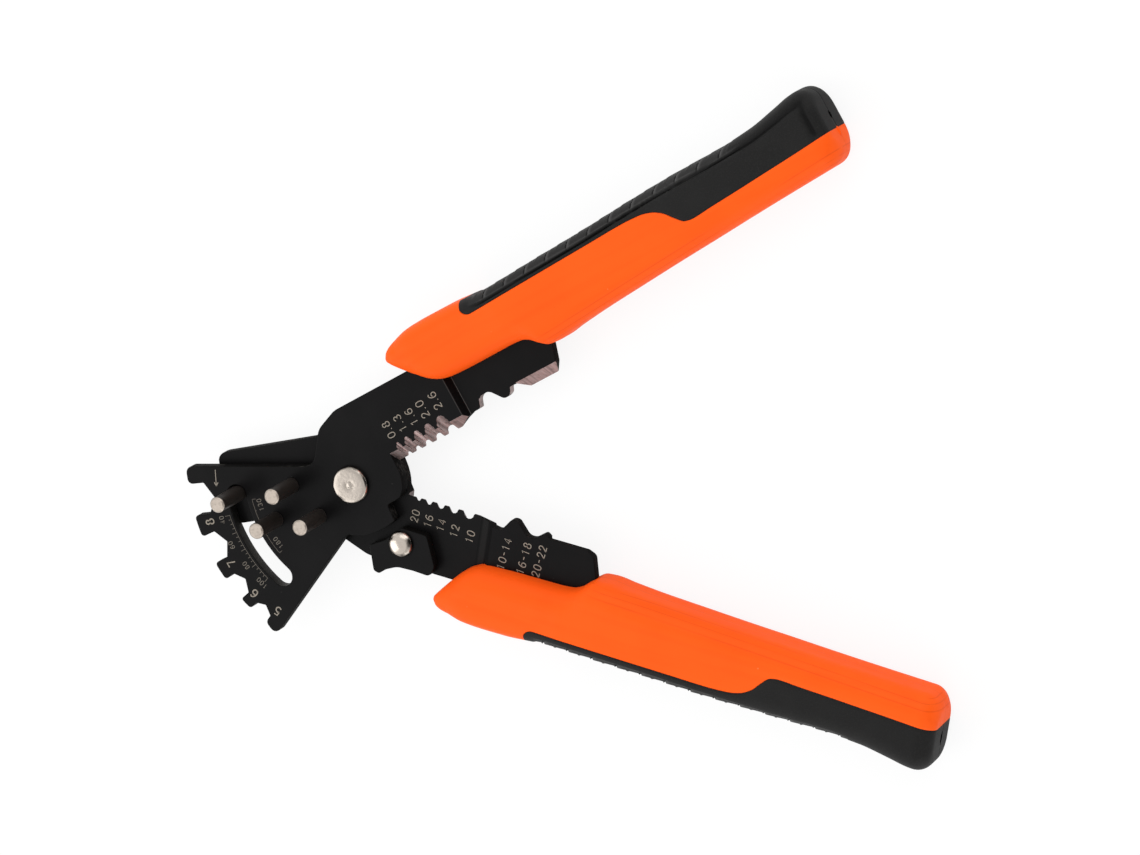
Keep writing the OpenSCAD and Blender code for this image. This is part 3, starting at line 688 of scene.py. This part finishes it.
def spread(points, count):
    # the same polyline with evenly spaced points
    lengths = [0.0]
    for a, b in zip(points, points[1:]):
        lengths.append(lengths[-1] + math.dist(a, b))
    result, k = [], 0
    for i in range(count):
        target = lengths[-1] * i / (count - 1)
        while k < len(points) - 2 and lengths[k + 1] < target:
            k += 1
        span = lengths[k + 1] - lengths[k] or 1.0
        t = min(1.0, (target - lengths[k]) / span)
        result.append(tuple(a + (b - a) * t for a, b in zip(points[k], points[k + 1])))
    return result


def frontHalf(x, inset):
    # the front half of a section as (y, z), from the middle of the inner side to that of the outer
    v = gripValues
    low, high = gripCurves["inner"](x) + inset, gripCurves["outer"](x) - inset
    half = gripCurves["half"](x) - inset * 0.8
    near = min(v["innerEdge"], half * 0.82, (high - low) * 0.5)
    far = min(v["edge"] + (v["rearEdge"] - v["edge"]) * held((x - v["rearFrom"]) / v["rearOver"]),
              half * 0.68, (high - low) * 0.42)
    return ([(low, (half - near) * i / 4) for i in range(4)]
            + arcPoints(low + near, half - near, -near, near, range(0, 90, 6))
            + [(low + near + (high - far - low - near) * i / 20, half) for i in range(20)]
            + arcPoints(high - far, half - far, far, far, range(90, 0, -6))
            + [(high, (half - far) * (1 - i / 4)) for i in range(5)])


def splitHalf(x, inset):
    # the front half cut at the inlay's edge, into its inner and its outer stretch
    points = frontHalf(x, inset)
    cut = min(borderAt(x), gripCurves["outer"](x) - inset - 0.6)
    k = next(i for i in range(len(points) - 1) if points[i + 1][0] >= cut and points[i][1] > 0.1)
    (y0, z0), (y1, z1) = points[k], points[k + 1]
    t = (cut - y0) / ((y1 - y0) or 1.0)
    edge = (cut, z0 + (z1 - z0) * t)
    return points[:k + 1] + [edge], [edge] + points[k + 1:]


def gripStations():
    # places along the grip and how far the section has drawn in there
    v = gripValues
    end, radius = v["inlayEnd"], v["endRound"]
    places, x = [], v["noseStart"]
    while x < end - radius:
        places.append((x, 0.0))
        x += v["noseStep"] if x < v["noseEnd"] else v["step"]
    return places + [(px, (radius - pz) * 0.94) for px, pz in
                     arcPoints(end - radius, 0, radius, radius, [90 - 88 * i / 12 for i in range(13)])]


creaseValues = {"from": 54.5, "fade": 3, "inset": 2.35, "wide": 0.36, "lateFrom": 132, "lateOver": 16,
                "endInset": 0.5, "endPlace": 154.2, "endWide": 0.7}


def creaseAt(x, y, z, half):
    # a valley on the inlay's faces along its outer side, which turns across before the end,
    # and the panel that it frames
    v = creaseValues
    if z < half * 0.5:
        return 0.0, 0.0
    fade = held((x - v["from"]) / v["fade"]) * held(z - half * 0.5) * held((y - borderAt(x) - 0.25) / 0.8)
    late = held((x - v["lateFrom"]) / v["lateOver"])
    wide = v["wide"] + (v["endWide"] - v["wide"]) * late
    away = min(gripCurves["outer"](x) - v["inset"] - v["endInset"] * late - y, v["endPlace"] - x)
    inside = held(away / (3 * wide))
    return math.exp(-(away / wide) ** 2) * fade, inside * inside * (3 - 2 * inside) * fade * late


def mirrored(points):
    return [(y, -z) for y, z in reversed(points)]


def gripRings():
    # sections of the shell and of the inlay, and the inlay's marks for the tread
    v = gripValues
    shell, inlay, marks = [], [], []
    lip, start, outerCount = v["lip"], v["inlayStart"], v["outerCount"]
    for x, inset in gripStations():
        innerPart, outerPart = splitHalf(x, inset)
        near, far = spread(innerPart, v["innerCount"]), spread(outerPart, outerCount)
        outerSide = far[1:] + mirrored(far[1:-1])
        if x < start:
            shell.append([(x, y, z) for y, z in near + outerSide + mirrored(near[1:])])
            continue
        # a fine groove where the two plastics meet
        plain, (cutY, cutZ) = list(near), near[-1]
        near[-1] = (cutY - lip * 0.3, cutZ - lip)
        near[-2] = (cutY - lip * 1.6, near[-2][1] if near[-2][0] < cutY - lip * 1.6 else cutZ)
        if not inlay:
            shell.append([(x - 0.02, y, z) for y, z in plain + outerSide + mirrored(near[1:])])
        chord = [(cutY - lip * 0.3, (cutZ - lip) * (1 - 2 * i / (2 * outerCount - 3)))
                 for i in range(1, 2 * outerCount - 3)]
        section = near + spread(chord, 2 * outerCount - 3) + mirrored(near[1:])
        shell.append([(x, y, z) for y, z in section])
        soft = [(cutY + lip * 0.1, cutZ - lip), (max(far[1][0], cutY + lip * 1.2), far[1][1])] + far[2:]
        soft += mirrored(soft[:-1])
        soft += [(cutY + lip * 0.1, (lip - cutZ) * (1 - 2 * i / 12)) for i in range(1, 12)]
        inlay.append([(x, y, z) for y, z in soft])
        high, half = gripCurves["outer"](x) - inset, gripCurves["half"](x) - inset * 0.8
        for y, z in soft:
            band = held((y - (high - v["treadDepth"])) / 0.3)
            ends = held((x - start - v["treadStart"]) / 0.6) * held((v["treadEnd"] - x - z * 0.3) / 0.6)
            marks.append((x, z, band * ends, *creaseAt(x, y, abs(z), half), high - y))
    return shell, inlay, marks


# the tread on an inlay's outer side, from values stored on its points
treadValues = {"Pitch": 6.45, "Start": 2.6, "Slant": 0.34, "Groove": 0.40, "Rise": 0.30, "Edge": 0.7,
               "Crease": 0.9, "Sink": 0.28}
markNames = ("along", "across", "band", "crease", "panel", "inward")


def treadTree():
    graph = Tree("treadPanel", treadValues)
    given = graph.given
    along, across, band, crease, panel, inward = (
        graph.add("GeometryNodeInputNamedAttribute", {"data_type": "FLOAT"}, {"Name": name})
        for name in markNames)
    phase = (along + across * given["Slant"] - given["Start"]) / given["Pitch"] + 40.0  # kept above 0
    travel = graph.maths("FRACT", phase) * given["Pitch"]
    # each rib starts with a groove and a pale crest, and sinks slowly to the next one; the crest's paleness is
    # rubbing and painted highlight
    groove = travel.ease(0.0, 0.25) * travel.ease(given["Edge"], given["Edge"] * 0.6)
    nub = (travel.ease(given["Pitch"] * 0.47, given["Pitch"] * 0.5)
           * travel.ease(given["Pitch"] * 0.6, given["Pitch"] * 0.53))
    nub = nub * inward.ease(0.7, 0.3)
    depth = (groove * given["Groove"] + (travel / given["Pitch"] - nub * 0.6) * given["Rise"]) * band * -1.0
    depth = depth - crease * given["Crease"] - panel * given["Sink"]
    crest = (travel.ease(given["Edge"] * 0.8, given["Edge"])
             * travel.ease(given["Edge"] * 2.6, given["Edge"] * 1.2))
    # a painted highlight along the rim where the ribs meet the smooth faces
    rim = inward.ease(2.05, 1.9) * inward.ease(1.5, 1.7) * 0.5
    crest = (crest * 0.75 + nub * 0.7 + 0.13) * band + rim * along.ease(56.0, 58.0) * along.ease(137.0, 132.0)
    offset = graph.vector("SCALE", graph.add("GeometryNodeInputNormal"), depth * mm)
    inlay = graph.add("GeometryNodeSetPosition", {}, {"Geometry": given["Geometry"], "Offset": offset})
    # crest carries rubbing and painted highlight into the rubber's colour, crease the painted shade of the
    # valley and the grooves
    for name, value in {"crest": crest, "crease": crease + groove * band * 0.9}.items():
        inlay = graph.add("GeometryNodeStoreNamedAttribute", {"data_type": "FLOAT", "domain": "POINT"},
                          {"Geometry": inlay, "Name": name, "Value": value})
    return graph.close(inlay)


tread = treadTree()
shellRings, inlayRings, inlayMarks = gripRings()
print("grip rings:", len(shellRings), len(inlayRings), len(shellRings[0]), len(inlayRings[0]))


def gripPlace(side):
    # the lower grip is the upper one turned over
    return leverPlace(side) if side == "upper" else leverPlace(side, True, gripValues["lean"])


def makeGrip(side):
    shell = ringMesh(side + "Shell", shellRings, finishes[side + "Orange"])
    fitPiece(linked(side + "GripShell", shell), side + "_lever", side + "_grip",
             place=gripPlace(side), limit=40)
    inlay = ringMesh(side + "Inlay", inlayRings, finishes["rubber"])
    for index, name in enumerate(markNames):
        layer = inlay.attributes.new(name, "FLOAT", "POINT")
        plain = side == "lower" and name in ("crease", "panel")  # only the upper inlay's front is framed
        layer.data.foreach_set("value", [0.0 if plain else mark[index] for mark in inlayMarks])
    piece = linked(side + "GripInlay", inlay)
    addTree(piece, tread, treadValues, "rubber")
    fitPiece(piece, side + "_lever", side + "_inlay", place=gripPlace(side), limit=40)


# the stub that the mould's gate left on the upper grip's end, beside the soft inlay
gateValues = {"end": 156.75, "away": 19.0, "rise": 0.45, "half": (1.25, 0.55), "steps": 20}


def gateMark():
    v = gateValues
    rings = []
    for tilt in (-90, 0, 25, 50, 75):
        reach = math.cos(math.radians(max(0, tilt)))
        around = arcPoints(v["away"], 0, v["half"][0] * reach, v["half"][1] * reach,
                           [i * 360 / v["steps"] for i in range(v["steps"])])
        rings.append([(v["end"] + v["rise"] * math.sin(math.radians(tilt)), y, z) for y, z in around])
    gate = linked("upperGateMark", ringMesh("gate", rings, finishes["upperOrange"]))
    fitPiece(gate, "upper_lever", place=gripPlace("upper"), limit=40)


# a dark sliver of painted shadow that stands for the ragged slit the mould left in the parting line of each
# inlay's end
slitValues = {"upper": (22.3, 24.3), "lower": (21.7, 25.4), "least": 0.03, "half": 0.48, "ragged": 0.5,
              "sway": 0.3, "proud": 0.03, "sink": 0.10, "beyond": 170, "steps": 16, "seed": 5}


def slitMark(side):
    v = slitValues
    chance = random.Random(v["seed"])
    soft = ringMesh(side + "SlitGround", inlayRings)
    ground = BVHTree.FromPolygons([point.co for point in soft.vertices],
                                  [face.vertices for face in soft.polygons])
    bpy.data.meshes.remove(soft)
    first, last = v[side]
    rings = []
    for i in range(v["steps"] + 1):
        share = i / v["steps"]
        y = first + (last - first) * share
        ragged = 1 + v["ragged"] * (chance.random() - 0.5)
        half = v["least"] + v["half"] * math.sin(math.pi * share) * ragged
        middle = v["sway"] * half * (chance.random() - 0.5)
        # the inlay's end lies where a ray from beyond it meets it
        sides = [(ground.ray_cast(Vector((v["beyond"], y, z)) * mm, Vector((-1, 0, 0)))[0].x / mm, z)
                 for z in (middle - half, middle + half)]
        rings.append([(x + v["proud"], y, z) for x, z in sides]
                     + [(x - v["sink"], y, z) for x, z in reversed(sides)])
    slit = linked(side + "Slit", ringMesh(side + "Slit", rings, finishes["hollow"]))
    fitPiece(slit, side + "_lever", place=gripPlace(side))


for gripSide in ("upper", "lower"):
    makeGrip(gripSide)
    slitMark(gripSide)
gateMark()
print("grips made")


# etched numbers: the strokes of each sign in a box of height 1, straight lines, bends or closed loops
digitLoop = ((0.34, 1.0), (0.60, 0.87), (0.68, 0.5), (0.60, 0.13), (0.34, 0.0), (0.08, 0.13), (0.0, 0.5),
             (0.08, 0.87))
signStrokes = {
    "0": (0.68, [("loop", digitLoop)]),
    "1": (0.68, [("line", ((0.12, 0.80), (0.36, 1.0), (0.36, 0.0)))]),
    "2": (0.68, [("bend", ((0.03, 0.70), (0.12, 0.92), (0.34, 1.0), (0.57, 0.91), (0.63, 0.70), (0.50, 0.46),
                           (0.0, 0.0))),
                 ("line", ((0.0, 0.0), (0.68, 0.0)))]),
    "3": (0.68, [("bend", ((0.03, 0.84), (0.30, 1.0), (0.58, 0.88), (0.56, 0.62), (0.28, 0.53))),
                 ("bend", ((0.28, 0.53), (0.62, 0.42), (0.66, 0.18), (0.34, 0.0), (0.02, 0.14)))]),
    "4": (0.68, [("line", ((0.50, 0.0), (0.50, 1.0), (0.0, 0.28), (0.68, 0.28)))]),
    "5": (0.68, [("line", ((0.60, 1.0), (0.12, 1.0), (0.07, 0.54))),
                 ("bend", ((0.07, 0.54), (0.34, 0.63), (0.62, 0.49), (0.65, 0.20), (0.36, 0.0),
                           (0.02, 0.12)))]),
    "6": (0.68, [("bend", ((0.60, 0.88), (0.40, 1.0), (0.16, 0.86), (0.02, 0.56), (0.01, 0.27), (0.12, 0.06),
                           (0.34, 0.0), (0.58, 0.08), (0.67, 0.29), (0.59, 0.49), (0.36, 0.58),
                           (0.15, 0.48)))]),
    "7": (0.68, [("line", ((0.0, 1.0), (0.66, 1.0), (0.24, 0.0)))]),
    "8": (0.68, [("loop", ((0.34, 1.0), (0.56, 0.90), (0.60, 0.76), (0.52, 0.60), (0.34, 0.54), (0.16, 0.60),
                           (0.08, 0.76), (0.12, 0.90))),
                 ("loop", ((0.34, 0.54), (0.60, 0.44), (0.68, 0.26), (0.58, 0.07), (0.34, 0.0), (0.10, 0.07),
                           (0.0, 0.26), (0.08, 0.44)))]),
    ".": (0.14, [("line", ((0.0, 0.07), (0.14, 0.07)))]),
    "-": (0.50, [("line", ((0.02, 0.5), (0.48, 0.5)))]),
}
strokeValues = {"Width": 0.24, "Height": 0.024}
signValues = {"gap": 0.36, "narrow": 0.84, "bendSteps": 5}
# rows of numbers: lever, face, width of stroke in mm, finish and signs,
# which are a text, its place from the pivot in mm, its height and its reading direction in degrees
numberRows = {
    "upperNumbers": ("upper", "frontFace", 0.23, "etch", [
        ("0.8", 16.54, 7.45, 2.05, 90), ("1.3", 20.21, 7.54, 2.05, 90), ("1.6", 23.79, 7.60, 2.05, 90),
        ("2.0", 27.50, 7.95, 2.15, 90), ("2.6", 31.67, 8.35, 2.15, 90)]),
    "fanNumbers": ("upper", "frontFace", 0.34, "etch", [
        ("8", -40.94, 8.32, 2.2, 79), ("7", -41.25, -3.27, 2.2, 95), ("6", -39.72, -12.59, 2.2, 107),
        ("5", -36.13, -19.17, 2.2, 118)]),
    "scaleNumbers": ("upper", "frontFace", 0.17, "faint", [
        ("40", -37.56, 7.30, 1.2, 79), ("60", -38.72, 0.68, 1.2, 89), ("80", -37.86, -5.47, 1.2, 98),
        ("100", -36.26, -11.17, 1.2, 107), ("130", -25.73, 6.15, 1.2, 77), ("180", -26.44, -4.20, 1.2, 99)]),
    "lowerNumbers": ("lower", "backFace", 0.24, "etch", [
        ("20", 16.55, -4.56, 1.95, 84), ("16", 20.22, -4.87, 1.95, 84), ("14", 23.66, -4.94, 1.95, 84),
        ("12", 27.40, -5.42, 1.95, 84), ("10", 31.68, -5.74, 1.95, 84)]),
    "coinedNumbers": ("lower", "coinedFace", 0.24, "etch", [
        ("10-14", 41.60, -7.03, 1.95, 83), ("16-18", 46.84, -6.75, 1.95, 83),
        ("20-22", 50.87, -6.36, 1.95, 83)]),
}


def bent(points, closed):
    # a smooth line through the points
    count, steps = len(points), signValues["bendSteps"]
    result = []
    for i in range(count if closed else count - 1):
        around = range(i - 1, i + 3)
        a, b, c, d = (points[k % count if closed else max(0, min(count - 1, k))] for k in around)
        for t in (k / steps for k in range(steps)):
            result.append(tuple(0.5 * (2 * b[n] + (c[n] - a[n]) * t
                                       + (2 * a[n] - 5 * b[n] + 4 * c[n] - d[n]) * t * t
                                       + (3 * b[n] - a[n] - 3 * c[n] + d[n]) * t ** 3) for n in (0, 1)))
    return result if closed else result + [points[-1]]


def writingCurve(name, entries):
    # all the strokes of some numbers as open and closed lines, in metres about the pivot
    curve = bpy.data.curves.new(name, "CURVE")
    curve.dimensions = "3D"
    gap, narrow = signValues["gap"], signValues["narrow"]
    for text, x, y, height, reading in entries:
        turn = Matrix.Translation((x * mm, y * mm, 0)) @ Matrix.Rotation(math.radians(reading), 4, "Z")
        start = (gap - sum(signStrokes[sign][0] * narrow + gap for sign in text)) / 2
        for sign in text:
            width, lines = signStrokes[sign]
            for kind, points in lines:
                line = points if kind == "line" else bent(points, kind == "loop")
                spline = curve.splines.new("POLY")
                spline.points.add(len(line) - 1)
                spline.use_cyclic_u = kind == "loop"
                for point, (u, v) in zip(spline.points, line):
                    spot = Vector((start + u * narrow, v - 0.5, 0)) * height * mm
                    point.co = (*(turn @ spot), 1)
            start += width * narrow + gap
    return curve


def strokeTree():
    graph = Tree("writtenStrokes", strokeValues)
    upright = graph.add("GeometryNodeSetCurveNormal", {"mode": "Z_UP"}, {"Curve": graph.given["Geometry"]})
    return graph.close(graph.ribbon(upright))


strokes = strokeTree()
for name, (side, face, width, finish, entries) in numberRows.items():
    writing = linked(name, writingCurve(name, entries))
    addTree(writing, strokes, {**strokeValues, "Width": width}, finish)
    mesh = settled(writing)
    bpy.data.objects.remove(writing)
    fitPiece(linked(name, mesh), side + "_lever",
             place=leverPlace(side) @ Matrix.Translation((0, 0, toolSizes[face] * mm)))

# the two scales on the fan: angles in degrees, the rest in mm
outerScale = {"Radius": 35.75, "From": 168.0, "To": 197.6, "Count": 17, "Short": 0.75, "Long": 1.35,
              "Every": 4.0, "Width": 0.10, "Height": 0.024}
innerScale = {"Radius": 28.3, "From": 163.0, "To": 193.5, "Count": 6, "Short": -0.3, "Long": -1.0,
              "Every": 5.0, "Width": 0.09, "Height": 0.024}


def scaleTree():
    # an arc with short and long marks along it
    graph = Tree("scaleMarks", outerScale)
    given, degree = graph.given, math.pi / 180
    index = graph.add("GeometryNodeInputIndex")
    sweep = given["To"] - given["From"]
    turn = (given["From"] + sweep * index / (given["Count"] - 1)) * degree
    length = given["Short"] + (given["Long"] - given["Short"]) * ((index % given["Every"]) < 0.5)
    reach = (given["Radius"] + length / 2) * mm

    def joined(*parts):
        return graph.add("ShaderNodeCombineXYZ", {}, dict(enumerate(parts)))

    spots = graph.add("GeometryNodeSetPosition", {}, {
        "Geometry": graph.add("GeometryNodePoints", {}, {"Count": given["Count"]}),
        "Position": joined(reach * graph.maths("COSINE", turn), reach * graph.maths("SINE", turn))})
    bars = graph.add("GeometryNodeInstanceOnPoints", {}, {
        "Points": spots, "Instance": graph.add("GeometryNodeMeshCube"), "Rotation": joined(0, 0, turn),
        "Scale": joined(abs(length) * mm, given["Width"] * mm, given["Height"] * mm)})
    line = graph.add("GeometryNodeCurveArc", {}, {"Resolution": 48, "Radius": given["Radius"] * mm,
                     "Start Angle": given["From"] * degree, "Sweep Angle": sweep * degree})
    return graph.close(graph.add("GeometryNodeJoinGeometry", {}, {0: [bars, graph.ribbon(line)]}))


marks = scaleTree()
fanFace = leverPlace("upper") @ Matrix.Translation((0, 0, toolSizes["frontFace"] * mm))
for name, values in {"outerScale": outerScale, "innerScale": innerScale}.items():
    scale = linked(name, bpy.data.meshes.new(name))
    addTree(scale, marks, values, "faint")
    fitPiece(scale, "upper_lever", place=fanFace)

# the small arrow at the top of the fan
arrowValues = {"tail": (-32.31, 19.08), "tip": (-34.30, 15.38), "width": 0.20, "barb": 1.1, "spread": 0.5}


def arrowMesh():
    # the shaft and two barbs, each a thin bar from the tip
    v = arrowValues
    (x, y), shaft = v["tip"], math.dist(v["tail"], v["tip"])
    back = math.atan2(v["tail"][1] - y, v["tail"][0] - x)
    work = bmesh.new()
    for turn, length in ((back, shaft), (back + v["spread"], v["barb"]), (back - v["spread"], v["barb"])):
        size = Matrix.Diagonal((length * mm, v["width"] * mm, strokeValues["Height"] * mm, 1))
        place = Matrix.Translation((x * mm, y * mm, 0)) @ Matrix.Rotation(turn, 4, "Z")
        place = place @ Matrix.Translation((length / 2 * mm, 0, 0))
        bmesh.ops.create_cube(work, size=1.0, matrix=place @ size)
    mesh = bpy.data.meshes.new("fanArrow")
    work.to_mesh(mesh)
    work.free()
    mesh.materials.append(finishes["etch"])
    return mesh


fitPiece(linked("fanArrow", arrowMesh()), "upper_lever", place=fanFace)
print("numbers and scales made")


# floor, light and camera
stageValues = {"floorGap": 0.02, "floorReach": 6.0, "floorColour": (0.85, 0.85, 0.85, 1), "glow": 1.04,
               "seenWhite": 0.84, "mirroredWhite": 0.25, "horizon": 1.15, "zenith": 0.88,
               "lampAim": (0.05, 0, 0), "darkSide": (0.94, 0.12, 0.22), "darkFrom": 0.80, "darkTo": 0.92,
               "darkLevel": 0.04}
lampValues = {
    "key": {"place": (-1.25, -0.35, 0.95), "size": 1.3, "power": 7.0},
    "fill": {"place": (0.45, 1.2, 1.0), "size": 1.2, "power": 4.0},
    "side": {"place": (1.1, 1.0, 0.45), "size": 0.9, "power": 2.5},
    "rear": {"place": (0.35, -1.4, 0.40), "size": 0.9, "power": 3.0},
}


def stageFloor():
    # a pale floor that the camera sees as white, with the object's shadow
    v = stageValues
    low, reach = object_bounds()[0][2] - v["floorGap"] * mm, v["floorReach"]
    mesh = bpy.data.meshes.new("floor")
    corners = [(-reach, -reach, low), (reach, -reach, low), (reach, reach, low), (-reach, reach, low)]
    mesh.from_pydata(corners, [], [(0, 1, 2, 3)])
    paint = Paint("floorWhite")
    direct, mirrored, through = (paint.add("ShaderNodeLightPath", out="Is %s Ray" % name)
                                 for name in ("Camera", "Glossy", "Transmission"))
    seen = paint.maths("MAXIMUM", paint.maths("MAXIMUM", direct, through) * v["seenWhite"],
                       mirrored * v["mirroredWhite"])
    matt = paint.add("ShaderNodeBsdfDiffuse", {}, {"Color": v["floorColour"]})
    glow = paint.add("ShaderNodeEmission", {}, {"Color": (1, 1, 1, 1), "Strength": v["glow"]})
    mesh.materials.append(paint.show(paint.add("ShaderNodeMixShader", {}, {0: seen, 1: matt, 2: glow})))
    linked("floor", mesh)


stageFloor()
for name, v in lampValues.items():
    light = bpy.data.lights.new(name, "AREA")
    light.size, light.energy = v["size"], v["power"]
    lamp = linked(name, light)
    lamp.location, lamp.rotation_mode = v["place"], "QUATERNION"
    gazeLine = Vector(stageValues["lampAim"]) - Vector(v["place"])
    lamp.rotation_quaternion = gazeLine.to_track_quat("-Z", "Y")

# an even sky with one dark card low on the right, which gives the bare metal its dark side
world = bpy.data.worlds.new("studio")
bpy.context.scene.world = world
world.use_nodes = True
sky = Graph(world.node_tree)
gaze = sky.add("ShaderNodeTexCoord", out="Generated")
height = gaze.split("Z").ease(0.05, 0.75, stageValues["horizon"], stageValues["zenith"])
card = sky.vector("DOT_PRODUCT", gaze, stageValues["darkSide"], "Value").ease(
    stageValues["darkFrom"], stageValues["darkTo"], 1.0, stageValues["darkLevel"])
background = world.node_tree.nodes["Background"]
background.inputs["Color"].default_value = (1, 1, 1, 1)
world.node_tree.links.new((height * card).socket, background.inputs["Strength"])

# the photograph's camera, from the fit to the tool's own marks
cameraValues = {"place": (0.521092, 0.214774, 0.967742), "turn": (0.968569, -0.112684, 0.211186, -0.067647),
                "lens": 143.46, "sensor": 36.0, "clip": (0.01, 20.0)}
lens = bpy.data.cameras.new("camera")
lens.lens, lens.sensor_width = cameraValues["lens"], cameraValues["sensor"]
lens.clip_start, lens.clip_end = cameraValues["clip"]
camera = linked("camera", lens)
camera.location, camera.rotation_mode = cameraValues["place"], "QUATERNION"
camera.rotation_quaternion = Quaternion(cameraValues["turn"])
bpy.context.scene.camera = camera
bpy.context.scene.view_settings.view_transform = "Standard"
print("stage made")
